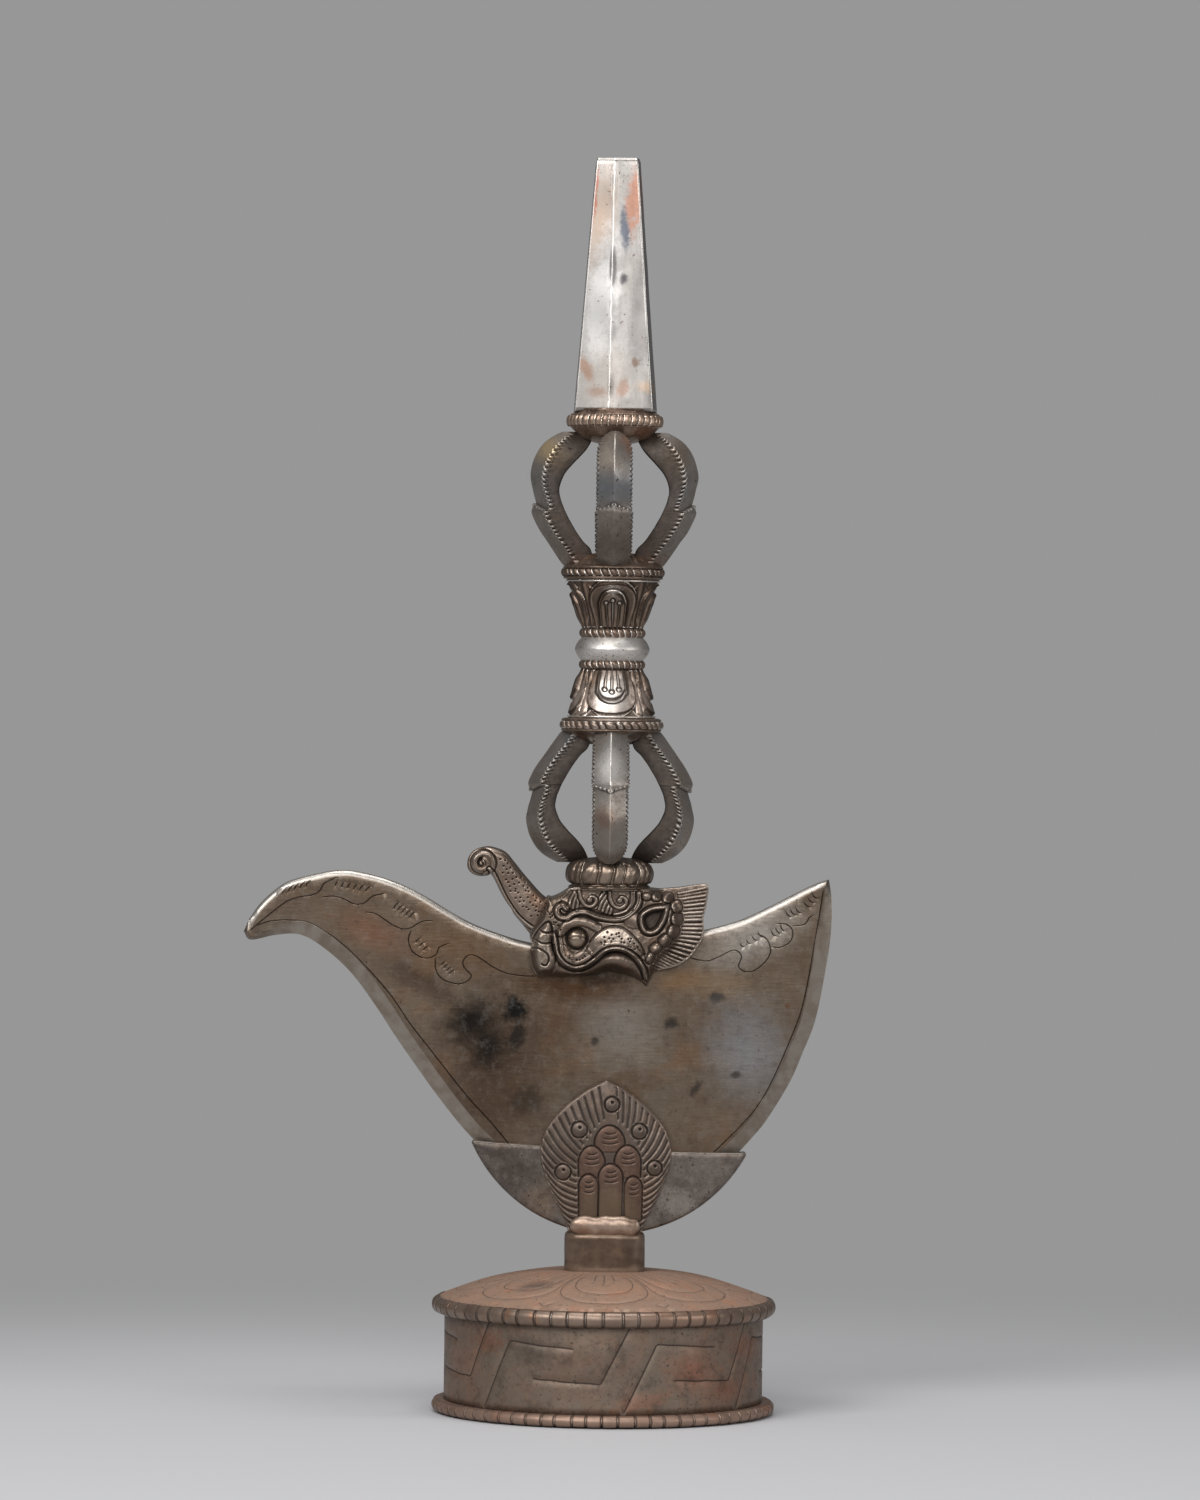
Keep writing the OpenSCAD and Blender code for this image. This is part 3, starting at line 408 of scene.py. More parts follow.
def grid_triangles(rows, columns, loop_rows=False, loop_columns=False):
    """Two triangles for each cell of a grid of points, joined round where it is a loop."""
    r = np.arange(rows if loop_rows else rows - 1)[:, None]
    c = np.arange(columns if loop_columns else columns - 1)[None, :]
    a, b = r * columns + c, r * columns + (c + 1) % columns
    d, e = (r + 1) % rows * columns + c, (r + 1) % rows * columns + (c + 1) % columns
    return np.concatenate([np.stack([a, b, e], -1).reshape(-1, 3),
                           np.stack([a, e, d], -1).reshape(-1, 3)])


def tube(rings):
    """A tube through rings of points, rings x round x 3, closed by a fan at each end."""
    rings = np.asarray(rings, float)
    count, size = rings.shape[:2]
    points = np.vstack([rings.reshape(-1, 3), rings[0].mean(0)[None], rings[-1].mean(0)[None]])
    walls = grid_triangles(count, size, loop_columns=True)
    c = np.arange(size)
    d = (c + 1) % size
    last = (count - 1) * size
    ends = np.vstack([np.stack([np.full(size, count * size), d, c], 1),
                      np.stack([np.full(size, count * size + 1), last + c, last + d], 1)])
    return points, np.vstack([walls, ends])


def turned(section, angles, proud):
    """A closed section of (radius, height) points carried round the axis. Angle 0 is the front.
    proud(angles, section) moves each point out along the section's normal."""
    section = np.asarray(section, float)
    along = np.roll(section, -1, 0) - np.roll(section, 1, 0)
    normal = np.stack([along[:, 1], -along[:, 0]], 1)
    normal /= np.maximum(np.linalg.norm(normal, axis=1, keepdims=True), 1e-9)
    x, z = section.T
    if (x * np.roll(z, -1) - np.roll(x, -1) * z).sum() < 0:
        normal = -normal
    move = proud(angles[:, None], section[None])
    radius = section[None, :, 0] + move * normal[None, :, 0]
    height = section[None, :, 1] + move * normal[None, :, 1] + 0 * angles[:, None]
    points = np.stack([radius * np.sin(angles)[:, None], -radius * np.cos(angles)[:, None],
                       height], -1)
    return points.reshape(-1, 3), grid_triangles(len(angles), len(section), True, True)


def joined(*parts):
    """Several closed surfaces as one set of points and triangles."""
    points, triangles, count = [], [], 0
    for p, t in parts:
        points.append(p)
        triangles.append(t + count)
        count += len(p)
    return np.vstack(points), np.vstack(triangles)


def hollows(points, triangles, rounds=4, scale=0.1):
    """How far each point lies under (above 0) or over the surface smoothed by `rounds` averages
    of its neighbours, along the normal, as a share of `scale`."""
    cross = np.cross(points[triangles[:, 1]] - points[triangles[:, 0]],
                     points[triangles[:, 2]] - points[triangles[:, 0]])
    normal = np.zeros_like(points)
    for k in range(3):
        for axis in range(3):
            normal[:, axis] += np.bincount(triangles[:, k], cross[:, axis], len(points))
    normal /= np.maximum(np.linalg.norm(normal, axis=1, keepdims=True), 1e-12)
    a = np.concatenate([triangles[:, 0], triangles[:, 1], triangles[:, 2]])
    b = np.concatenate([triangles[:, 1], triangles[:, 2], triangles[:, 0]])
    a, b = np.concatenate([a, b]), np.concatenate([b, a])
    share = np.maximum(np.bincount(a, minlength=len(points)), 1)[:, None]
    smooth = points.copy()
    for _ in range(rounds):
        around = np.stack([np.bincount(a, smooth[b, k], len(points)) for k in range(3)], 1)
        smooth = 0.35 * smooth + 0.65 * around / share
    return ((smooth - points) * normal).sum(1) / scale


def make_piece(name, shape, material, crease=None, hollow=None, **marks):
    """Puts points and triangles into a smooth mesh object, faces outward, with its marks as
    point attributes. Edges sharper than `crease` degrees stay sharp."""
    points, triangles = shape
    a, b, c = (points[triangles[:, k]] for k in range(3))
    if np.einsum("ij,ij->i", a, np.cross(b, c)).sum() < 0:
        triangles = triangles[:, ::-1]
    if hollow is None:
        hollow = hollows(points, triangles)
    mesh = bpy.data.meshes.new(name)
    mesh.vertices.add(len(points))
    mesh.vertices.foreach_set("co", (points * MM).astype(np.float32).ravel())
    mesh.loops.add(3 * len(triangles))
    mesh.loops.foreach_set("vertex_index", triangles.astype(np.int32).ravel())
    mesh.polygons.add(len(triangles))
    mesh.polygons.foreach_set("loop_start", np.arange(0, 3 * len(triangles), 3, dtype=np.int32))
    mesh.polygons.foreach_set("use_smooth", np.ones(len(triangles), bool))
    for mark, values in {"hollow": hollow, **marks}.items():
        attribute = mesh.attributes.new(mark, "FLOAT", "POINT")
        attribute.data.foreach_set("value", np.asarray(values, np.float32))
    mesh.update(calc_edges=True)
    if crease:
        mesh.set_sharp_from_angle(angle=math.radians(crease))
    mesh.materials.append(material)
    piece = bpy.data.objects.new(name, mesh)
    bpy.context.scene.collection.objects.link(piece)
    return piece


# Finishes

DARK = (44, 36, 30)


def through(y, stains_and_painted_light):
    """Patches of stain and of painted light and shade, given as x, z, half width, half height,
    turn, colour and strength, which reach 30 mm before and behind y."""
    return [((x, y, z), (wide, 30, tall), turn, tone, amount)
            for x, z, wide, tall, turn, tone, amount in stains_and_painted_light]


def coppery(finish, colour, roughness, cloud):
    """The scales of the leaf show the red metal."""
    scales = finish.mark("scales")
    red = finish.blend(cloud.step(0.35, 0.65), shade(92, 69, 57), shade(76, 58, 48))
    red = finish.blend(finish.patch((2, -10, 80), (18, 12, 17), 0, 0.7) * 0.85, red,
                       shade(100, 84, 66))
    return finish.blend(scales * 0.85 * (1 - finish.mark("hollow").step(0.1, 0.6)), colour,
                        red), roughness + scales * 0.06


def flanks(finish, colour, roughness, cloud):
    """The sides and the inner face of a prong are darker and browner than its facets."""
    outer = finish.mark("outer")
    colour = finish.blend((1 - outer) * 0.85, colour, finish.blend(
        cloud.step(0.35, 0.65), shade(60, 49, 42), shade(46, 38, 34)))
    return colour, roughness + (1 - outer) * 0.12


def ground(finish, colour, roughness, cloud):
    """The blade's bevel is bare grey from the stone; its spine is polished, and painted lighter
    as a highlight.
    """
    bevel, polish = finish.mark("bevel"), finish.mark("polish")
    bare = finish.blend(cloud.step(0.35, 0.7), shade(138, 131, 122), shade(119, 109, 98))
    colour = finish.blend(bevel * 0.8, colour, bare)
    colour = finish.blend(polish * 0.8, colour, shade(178, 173, 166))
    return colour, roughness + bevel * 0.05 - polish * 0.01


aged("foot_iron", [(138, 113, 98), (148, 123, 108), (152, 108, 86)], (44, 32, 26),
     (186, 176, 166), rough=0.46, metal=0.62, grain=0.7)
aged("drum_iron", [(112, 91, 77), (104, 92, 80), (122, 92, 73)], (44, 33, 27), (142, 126, 112),
     rough=0.52, metal=0.45, lumps=11, grain=1.3, mottle=(7, 0.42),
     specks=((74, 60, 50), 1.4, 0.6, 0.74), stains_and_painted_light=[
    # Painted shadow under the lid's rim, in a band all round.
    ((0, 0, 41), (90, 90, 4.5), 0, (52, 45, 40), 0.75),
    ((0, 0, 4.5), (90, 90, 3.5), 0, (50, 40, 34), 0.7),
    ((-6, -60, 22), (30, 20, 15), 0, (88, 70, 57), 0.7),
    ((36, -52, 22), (16, 30, 13), 30, (124, 82, 63), 0.8),
    ((50, -44, 13), (16, 30, 9), 0, (122, 80, 60), 0.75),
    ((16, -60, 10), (16, 30, 5), -10, (128, 88, 68), 0.55),
    ((-56, -30, 20), (12, 30, 14), 0, (124, 92, 74), 0.6),
    ((-30, -56, 30), (16, 30, 8), 20, (84, 72, 62), 0.7),
    ((-46, -40, 32), (9, 30, 7), 0, (112, 74, 56), 0.7),
    ((58, -30, 30), (9, 30, 9), 0, (126, 84, 62), 0.7),
    ((-10, -64, 34), (14, 30, 6), 0, (126, 106, 90), 0.5)])
aged("lid_iron", [(150, 118, 98), (140, 115, 98), (158, 112, 88)], (78, 64, 57), (168, 150, 136),
     rough=0.56, metal=0.3, lumps=13, grain=1.3, mottle=(6, 0.2),
     specks=((104, 84, 72), 1.6, 0.6, 0.74), stains_and_painted_light=[
    ((-27, -36, 52), (13, 9, 9), 0, (84, 70, 62), 0.95),
    ((24, -34, 54), (14, 12, 12), 0, (160, 124, 102), 0.6),
    ((-50, -14, 50), (12, 16, 12), 0, (150, 122, 104), 0.5)])
aged("rim_steel", [(132, 114, 100), (118, 100, 88), (142, 106, 84)], (40, 30, 25),
     (200, 192, 184), rough=0.4, metal=0.7, lumps=13, grain=0.7, stains_and_painted_light=[
    ((30, -60, 44), (24, 20, 8), 0, (142, 112, 94), 0.5)])
aged("inner_steel", [(112, 102, 92), (92, 82, 72)], DARK, (170, 162, 152))
aged("neck_iron", [(84, 66, 52), (74, 58, 46), (94, 74, 58)], (40, 31, 25), (128, 108, 92),
     rough=0.5, metal=0.6, lumps=8, grain=1.2, mottle=(3.5, 0.25), stains_and_painted_light=[
    ((12, -10, 69), (6, 12, 9), 0, (60, 45, 36), 0.7),
    ((-14, -10, 69), (5, 12, 9), 0, (62, 47, 37), 0.6)])
aged("cradle_steel", [(98, 90, 83), (82, 74, 69), (90, 76, 66)], (42, 36, 33), (160, 152, 144),
     rough=0.4, metal=0.78, lumps=9, grain=1.4, mottle=(4, 0.5),
     specks=((34, 28, 25), 1.3, 0.62, 0.74), stains_and_painted_light=[
    ((-38, -5, 98), (16, 20, 11), 0, (64, 56, 50), 0.8),
    ((-43, -5, 106), (10, 20, 4), 0, (52, 45, 40), 0.6),
    ((-26, -5, 86), (10, 20, 12), 0, (104, 84, 66), 0.6),
    ((40, -5, 100), (16, 20, 10), 0, (106, 99, 94), 0.6),
    ((30, -5, 86), (12, 20, 8), 20, (128, 120, 112), 0.6)])
aged("leaf_bronze", [(86, 75, 67), (76, 64, 56), (90, 74, 62)], (28, 22, 18), (146, 130, 118),
     rough=0.42, metal=0.72, lumps=8, grain=0.9, mottle=(3, 0.2), extra=coppery, stains_and_painted_light=[
    ((16, -10, 92), (10, 12, 14), 20, (98, 80, 66), 0.7),
    ((-16, -10, 92), (10, 12, 14), -20, (94, 78, 66), 0.7)])
aged("braze_brass", [(156, 136, 121), (138, 118, 104), (166, 144, 128)], (84, 62, 48),
     (198, 178, 162), rough=0.36, metal=0.7, lumps=5, stains_and_painted_light=[
    ((-9, -9, 76), (4, 8, 4), 0, (120, 92, 72), 0.6),
    ((11, -9, 79), (4, 8, 4), 0, (104, 82, 66), 0.6)])
aged("blade_steel", [(101, 89, 77), (93, 78, 64), (102, 80, 61)], (34, 27, 22), (176, 170, 162),
     rough=0.38, metal=0.85, lumps=30, grain=1.3, mottle=(5, 0.3), grit=0.4,
     brushing=(0.9, (7, 1, 1), (0, math.radians(38), 0), 0.035),
     specks=((50, 42, 36), 1.8, 0.7, 0.78), extra=ground, stains_and_painted_light=through(0, [
    (6, 158, 26, 24, 20, (120, 113, 105), 0.85),
    (58, 150, 26, 34, -20, (118, 118, 120), 0.8),
    (60, 196, 34, 15, -28, (158, 152, 144), 0.75),
    (-45, 148, 36, 40, 25, (58, 43, 32), 0.9),
    (-44, 124, 30, 22, 20, (70, 54, 42), 0.8),
    (-62, 190, 30, 14, 20, (98, 74, 52), 0.7),
    (-97, 196, 22, 11, 28, (111, 79, 61), 0.8),
    (-128, 208, 24, 8, -12, (92, 76, 64), 0.6),
    (-14, 174, 44, 10, 2, (68, 46, 28), 0.95),
    (-3, 178, 18, 5, 0, (46, 34, 26), 0.8),
    (31, 178, 15, 6, -10, (116, 90, 64), 0.6),
    (46, 176, 20, 9, 0, (122, 102, 80), 0.6),
    (-21, 160, 14, 15, 0, (84, 60, 42), 0.6),
    (-56, 160, 18, 14, -30, (18, 15, 13), 1),
    (-49, 149, 11, 15, 15, (26, 21, 18), 0.95),
    (-38, 165, 6.5, 7.5, 0, (18, 15, 13), 1),
    (-37, 154, 4.5, 9, 0, (36, 30, 26), 0.9),
    (-72, 173, 18, 9, 30, (66, 50, 38), 0.75),
    (-84, 178, 12, 7, 30, (70, 56, 46), 0.6),
    (-32, 128, 9, 7, 0, (52, 44, 37), 0.7),
    (-70, 138, 9, 16, 35, (98, 74, 56), 0.6),
    (-5, 152, 2.6, 2.6, 0, (50, 45, 42), 0.85),
    (26, 160, 4.5, 3.2, -25, (46, 42, 39), 0.9),
    (45, 171, 4.5, 3, 0, (58, 54, 52), 0.85),
    (36.5, 133, 2, 5, 32, (56, 50, 45), 0.85),
    (53, 139, 3, 2, 0, (58, 52, 46), 0.8),
    (74, 168, 1.6, 1.6, 0, (92, 60, 40), 0.8),
    (12, 136, 14, 7, 0, (92, 72, 58), 0.6)]))
aged("head_iron", [(112, 99, 89), (98, 84, 73), (118, 98, 84)], (30, 23, 18), (178, 166, 154),
     rough=0.36, metal=0.85, lumps=9, grain=0.8, grit=0.14, stains_and_painted_light=[
    # Painted highlight on the cheek's swelling.
    ((3, -14, 196), (13, 10, 7), 0, (168, 154, 141), 0.85),
    ((-11, -14, 200), (7, 10, 3), 0, (152, 138, 124), 0.6),
    ((-2, -14, 182), (20, 10, 5), 0, (70, 60, 50), 0.8),
    ((-27.5, -8, 190), (5, 10, 11), 0, (152, 142, 128), 0.75),
    ((-36, -6, 212), (9, 10, 9), 0, (138, 122, 110), 0.6),
    ((-30, -6, 210), (4, 10, 7), -40, (130, 98, 78), 0.5),
    ((33, -6, 200), (9, 10, 16), 0, (140, 128, 119), 0.65),
    ((19, -14, 203), (6, 10, 6), 0, (134, 120, 110), 0.6),
    ((-1, -18, 222), (19, 14, 6), 0, (142, 126, 112), 0.7)])
aged("eye_steel", [(132, 118, 104), (116, 102, 90)], (26, 20, 16), (190, 180, 168), rough=0.28,
     metal=0.85, lumps=4, grain=0.6, pitting=0.02)
aged("grip_iron", [(120, 104, 92), (104, 88, 76), (128, 106, 90)], (34, 26, 21), (222, 214, 206),
     rough=0.41, metal=0.84, lumps=9, stains_and_painted_light=[
    # Front of the lower lotus painted near white: its lighter tone, and a painted highlight.
    ((0, -18, 295), (13, 11, 16), 0, (214, 206, 199), 0.95),
    ((-13, -10, 292), (6, 9, 11), 8, (200, 182, 168), 0.85),
    ((12, -10, 292), (6, 9, 11), -8, (194, 176, 162), 0.85),
    ((0, -18, 333), (9, 6, 9), 0, (98, 88, 80), 0.7),
    # Painted highlight on the crown of the upper lotus's front petal.
    ((0, -19, 337.6), (4.6, 6, 2.6), 0, (214, 204, 194), 0.9),
    ((-12, -8, 353), (9, 12, 4.5), 0, (122, 88, 66), 0.6),
    ((14, -8, 353), (9, 12, 4.5), 0, (126, 84, 60), 0.65),
    ((11, -4, 226), (8, 14, 5), 0, (140, 108, 76), 0.7),
    ((-12, -8, 279), (8, 10, 4), 0, (128, 100, 78), 0.6)])
aged("prong_steel", [(146, 140, 134), (134, 124, 115), (130, 129, 130)], (32, 26, 22),
     (204, 198, 190), rough=0.44, metal=0.88, lumps=12, mottle=(3, 0.15),
     specks=((60, 48, 40), 1.4, 0.66, 0.76), extra=flanks, stains_and_painted_light=[
    # Painted shade on the lower, downward-facing part of the upper cage.
    ((0, -22, 356), (60, 60, 20), 0, (92, 80, 71), 0.9),
    ((-25, 0, 393), (13, 14, 9), 42, (206, 180, 134), 1),
    # Painted highlight on the upper arch of the front prong.
    ((-3, -26, 391), (5, 12, 9), 10, (176, 163, 148), 0.85),
    ((5, -22, 397), (5, 12, 8), 0, (146, 112, 92), 0.8),
    ((24, 0, 393), (9, 12, 8), 0, (140, 122, 106), 0.7),
    ((0, -22, 379), (60, 60, 12), 0, (104, 110, 117), 0.75),
    # Painted highlight on the upper part of the lower cage's front prong.
    ((0, -30, 268), (10, 12, 16), 0, (216, 212, 206), 0.95),
    ((0, -24, 240), (60, 60, 14), 0, (124, 115, 106), 0.6),
    ((-2, -30, 245), (6, 12, 7), 0, (126, 100, 84), 0.6),
    ((-14, 0, 350), (10, 14, 7), 0, (104, 74, 56), 0.6),
    ((15, 0, 350), (10, 14, 7), 0, (106, 74, 56), 0.6)])
aged("knob_steel", [(206, 203, 199), (188, 182, 176)], (60, 54, 48), (226, 223, 218), rough=0.45,
     metal=0.88, lumps=7, grain=0.7, pitting=0.03, specks=((96, 84, 74), 1, 0.64, 0.72),
     stains_and_painted_light=[
    # Painted shade on the knob's left and right flanks.
    ((-14, -5, 315), (5, 9, 7), 0, (160, 153, 147), 0.6),
    ((14, -5, 315), (5, 9, 7), 0, (160, 153, 147), 0.6)])
aged("tip_bronze", [(152, 131, 115), (134, 113, 98), (162, 139, 122)], (40, 30, 23),
     (222, 208, 194), rough=0.36, metal=0.8, lumps=7, stains_and_painted_light=[
    ((12, -12, 402), (8, 10, 4), 0, (150, 102, 72), 0.7),
    ((-10, -12, 401), (8, 10, 4), 0, (112, 92, 70), 0.7),
    ((0, -14, 411), (24, 12, 3), 0, (66, 50, 40), 0.95),
    ((0, -12, 400), (24, 14, 4), 0, (96, 76, 60), 0.7)])
aged("spike_steel", [(140, 137, 134), (131, 127, 123)], (96, 78, 66), (178, 175, 171), rough=0.36,
     metal=0.78, lumps=26, grain=1.1, brushing=(1.3, (1, 1, 16), (0, math.radians(3), 0), 0.03),
     specks=((92, 72, 60), 1.5, 0.68, 0.76), stains_and_painted_light=through(-9, [
    # The left half of the front face is painted lighter and the right half darker: painted light
    # and shade over the steel's tint.
    (-7, 490, 9, 30, 8, (146, 128, 114), 0.9),
    (-6, 455, 8, 40, 4, (160, 158, 156), 0.85),
    (-3, 425, 16, 20, 0, (156, 149, 142), 0.7),
    (7, 497, 5.5, 18, 6, (134, 98, 82), 0.95),
    (9, 455, 5, 40, 3, (110, 106, 104), 0.7),
    (-9.5, 500, 1.8, 17, 4, (136, 88, 72), 0.95),
    (2.9, 486, 2.4, 12, -6, (74, 78, 86), 0.95),
    (3, 465, 2.2, 3, 0, (66, 64, 66), 0.95),
    (-12, 428, 3.4, 8, -28, (128, 96, 76), 0.7),
    (-7, 419, 6, 3.4, 0, (118, 90, 72), 0.6),
    (3, 421, 3, 6, 20, (124, 92, 74), 0.6),
    (13, 421, 7, 4, 0, (160, 136, 112), 0.6),
    (8, 431, 2.4, 3, 0, (90, 66, 50), 0.7)]))

slots = {part["node"]: part["material_slot"] for part in frame["record"]["subparts"]}
bodies = {node: body for body, members in frame["record"]["behaviour"]["bodies"].items()
          for node in members}
for node, slot in slots.items():
    materials = frame["nodes"][node].data.materials
    materials.clear()
    materials.append(finishes[slot])


# Pieces of the stand

# Radius of the rod's bore, of the hole in the stand's rings, and of the seat of its plate
BORE, RING_BORE, PLATE_SEAT = 5.1, 60.1, 63.2


def dress(node, shape, **look):
    """Makes the surface that stands for a CAD node, in its finish and on its body."""
    piece = make_piece(node + "_worked", shape, finishes[slots[node]], **look)
    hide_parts(node)
    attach(piece, bodies[node])


def dress_pair(stem, shape, **look):
    """Dresses the front node of a pair in a shape, and the back one in its mirror image."""
    dress(stem + "_front", shape, **look)
    dress(stem + "_back", mirrored(shape), **look)


def span(node):
    """Lowest and highest corner of a CAD node, in mm."""
    low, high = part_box(node)
    return np.array(low) / MM, np.array(high) / MM


def mirrored(shape):
    """The same surface on the other side of the plane y = 0."""
    points, triangles = shape
    return points * [1, -1, 1], triangles[:, ::-1]


def uneven(x, z, size, seed):
    """Gentle unevenness between about -1 and 1: five crossing sine waves about `size` long."""
    chance = np.random.default_rng(seed)
    total = 0 * x
    for _ in range(5):
        way, phase = chance.uniform(0, 2 * np.pi, 2)
        pace = 2 * np.pi / (size * chance.uniform(0.7, 1.5))
        total = total + np.sin((x * np.cos(way) + z * np.sin(way)) * pace + phase)
    return total / 3


def notched_ring(section, count, half, depth, inner, seed):
    """A ring with saw cuts across its rounded edge, and the same ring uncut. The angles crowd
    at each cut, whose depth falls from its middle to its sides; the teeth swell a little."""
    section = np.asarray(section, float)
    chance = np.random.default_rng(seed)
    cuts = (np.arange(count) + chance.uniform(-0.09, 0.09, count)) * 2 * np.pi / count
    gap = np.diff(np.append(cuts, cuts[0] + 2 * np.pi))[:, None]
    near = np.array([[0, 0.4, 0.75, 1.0, 1.4, 2.1]]) * half / section[:, 0].max()
    middle = near[:, -1:] + (gap - 2 * near[:, -1:]) * np.linspace(0, 1, 6)[None, 1:-1]
    steps = np.hstack([near + 0 * gap, middle, gap - near[:, :0:-1]])
    angles = (cuts[:, None] + steps).ravel()
    into = (np.minimum(steps, gap - steps) / near[:, 3:4]).ravel()[:, None]
    share = (steps / gap).ravel()[:, None]
    deep = np.repeat(depth * chance.uniform(0.75, 1.2, count), steps.shape[1])[:, None]
    swell = np.repeat(chance.uniform(0.0, 0.28, count), steps.shape[1])[:, None]

    def move(_, line):
        """Out by half a sine along each tooth, in by the cut's depth, on the edge alone."""
        edge = rise(line[..., 0], inner, inner + 0.9)
        return (swell * np.sin(np.pi * share) ** 0.7 - deep * (1 - rise(into, 0.3, 1.05))) * edge
    return turned(section, angles, move), turned(section, angles, lambda _, line: 0 * share)


def dress_notched(node, shape, plain):
    """Dresses a node in a notched ring, whose mark leaves out the roundness of its uncut
    section."""
    mark = (hollows(*shape) - hollows(*plain)) * 1.1
    dress(node, shape, hollow=np.clip(mark, -0.55, 1.6))


def foot_ring():
    """The foot ring: a half-round edge with 68 cuts, and a seat for the plate in its bore."""
    high = span("base_ring")[1]
    top, out = high[2], high[0]
    mid, half = out - top / 2, top / 2
    turn = np.radians(np.linspace(-90, 90, 15))
    edge = np.stack([mid + half * np.cos(turn), half + half * np.sin(turn)], 1)
    inner = [[mid - 1.5, top], [mid - 2.6, top], [RING_BORE, top], [RING_BORE, 1.2],
             [PLATE_SEAT, 1.2], [PLATE_SEAT, 0], [mid - 1.5, 0]]
    section = np.vstack([edge, inner])
    dress_notched("base_ring", *notched_ring(section, 68, 0.42, 0.9, mid - 0.7, 3))


def lid_ring():
    """The ring round the lid: a rounded edge with 61 cuts, over a narrow foot."""
    low, high = span("lid_rim")
    z, out = low[2], high[0]
    edge = curve([[out - 4.4, z], [out - 2.4, z + 0.1], [out - 0.9, z + 0.9], [out - 0.1, z + 2.4],
                  [out, z + 3.8], [out - 0.5, z + 5.2], [out - 1.5, z + 6.1], [out - 2.8, z + 6.5],
                  [out - 4.0, z + 6.52]], 3)
    section = np.vstack([edge, [[RING_BORE, z + 6.5], [RING_BORE, z]]])
    dress_notched("lid_rim", *notched_ring(section, 61, 0.42, 1.0, out - 3.6, 8))


def beside(line, away):
    """The polyline moved `away` to its left, mitred at its corners."""
    line = np.asarray(line, float)[:, :2]
    along = np.diff(line, axis=0)
    along /= np.linalg.norm(along, axis=1, keepdims=True)
    side = np.stack([-along[:, 1], along[:, 0]], 1)
    mitre = np.vstack([side[:1], side[:-1] + side[1:], side[-1:]])
    mitre /= np.maximum((mitre ** 2).sum(1, keepdims=True) / 2, 0.35)
    mitre[[0, -1]] = side[[0, -1]]
    return line + away * mitre


def engraved(outline, step, lines, half, depth, taper, waver, seed, rails_too=()):
    """A filled outline with V grooves: each line is a rail with a rail on both its sides, and
    only the middle one is sunk. The lines waver a little and run out over `taper`. Gives points,
    triangles, how deep each point is, and a mark that is 1 on the floor of the grooves."""
    rails, cores = list(rails_too), []
    for k, line in enumerate(lines):
        size = np.linalg.norm(np.diff(np.asarray(line), axis=0), axis=1).sum()
        line = paced(line, min(step * 0.45, max(size / 9, 0.3)))
        shift = waver * uneven(*line.T, 9, seed + k)
        line = line + np.stack([0.5 * shift, shift], 1)
        cores.append(line)
        rails += [line, beside(line, half), beside(line, -half)]
    flat, triangles = filled(outline, step, rails)
    sunk, mark = np.zeros(len(flat)), np.zeros(len(flat))
    for line in cores:
        size = np.linalg.norm(np.diff(line, axis=0), axis=1).sum()
        some, away, found = culled(*flat.T, line, half * 1.2)
        ends = rise(np.minimum(found[0], size - found[0]), -0.1, min(taper, size * 0.28))
        sunk[some] = np.maximum(sunk[some], depth * ends * vee(away, half))
        mark[some] = np.maximum(mark[some], ends * (away < half * 0.4))
    return flat, triangles, sunk, mark


def drum():
    """The sheet wall, unrolled: fret lines are cut in the flat, and dents bend it a little; then
    it is rolled up and its two ends are joined."""
    low, high = span("drum_wall")
    radius, thick = high[0], 3.0
    bottom, top = low[2], high[2]
    arc = math.radians(radius)
    corners = [-55.6, -0.9, 51.1, 101.8, 152.4, 203.1, 253.7]
    lines = []
    for a in corners:
        b = a - (31.9 if a == 51.1 else 34.4)
        for line in ([(a + 10.5, top - 0.3), (a, 17), (a - 25.5, 18.4)],
                     [(b + 25.1, 31), (b, 33.2), (b - 12, bottom + 0.5)]):
            lines.append([(s * arc, z) for s, z in line])
    width = 360 * arc
    start = -0.53 * width
    end = start + width
    levels = np.linspace(bottom, top, 16)[1:-1]
    outline = np.vstack([[(x, bottom) for x in np.linspace(start, end, 160)],
                         [(end, z) for z in levels],
                         [(x, top) for x in np.linspace(end, start, 160)],
                         [(start, z) for z in levels[::-1]]])
    kept = []
    for line in lines:
        line = paced(line, 1.0)
        for shift in (-width, 0, width):
            moved = line + [shift, 0]
            run = (moved[:, 0] > start + 0.8) & (moved[:, 0] < end - 0.8)
            if run.sum() > 3:
                kept.append(moved[run])
    flat, triangles, sunk, mark = engraved(outline, 2.6, kept, 0.62, 0.5, 1.2, 0.16, 5)
    turn = flat[:, 0] / radius
    dent = 0.09 * uneven(flat[:, 0] % width, flat[:, 1], 34, 2) * np.sin(
        np.pi * (flat[:, 1] - bottom) / (top - bottom))
    outer, inner = radius - sunk + dent - 0.12, np.full(len(flat), radius - thick)
    points = np.vstack([np.stack([r * np.sin(turn), -r * np.cos(turn), flat[:, 1]], 1)
                        for r in (outer, inner)])
    count = len(flat)
    at_left = np.abs(flat[:, 0] - start) < 0.01
    at_right = np.abs(flat[:, 0] - start - width) < 0.01
    edges = open_edges(triangles, count)
    seam = at_left[edges].all(1) | at_right[edges].all(1)
    triangles = walled(triangles, count, edges[~seam])
    left, right = (np.flatnonzero(side) for side in (at_left, at_right))
    left, right = (side[np.argsort(flat[side, 1])] for side in (left, right))
    same = np.arange(2 * count)
    same[right], same[right + count] = left, left + count
    triangles = same[triangles]
    used = np.unique(triangles)
    renumber = np.zeros(2 * count, int)
    renumber[used] = np.arange(len(used))
    dress("drum_wall", (points[used], renumber[triangles]), hollow=np.tile(mark, 2)[used])


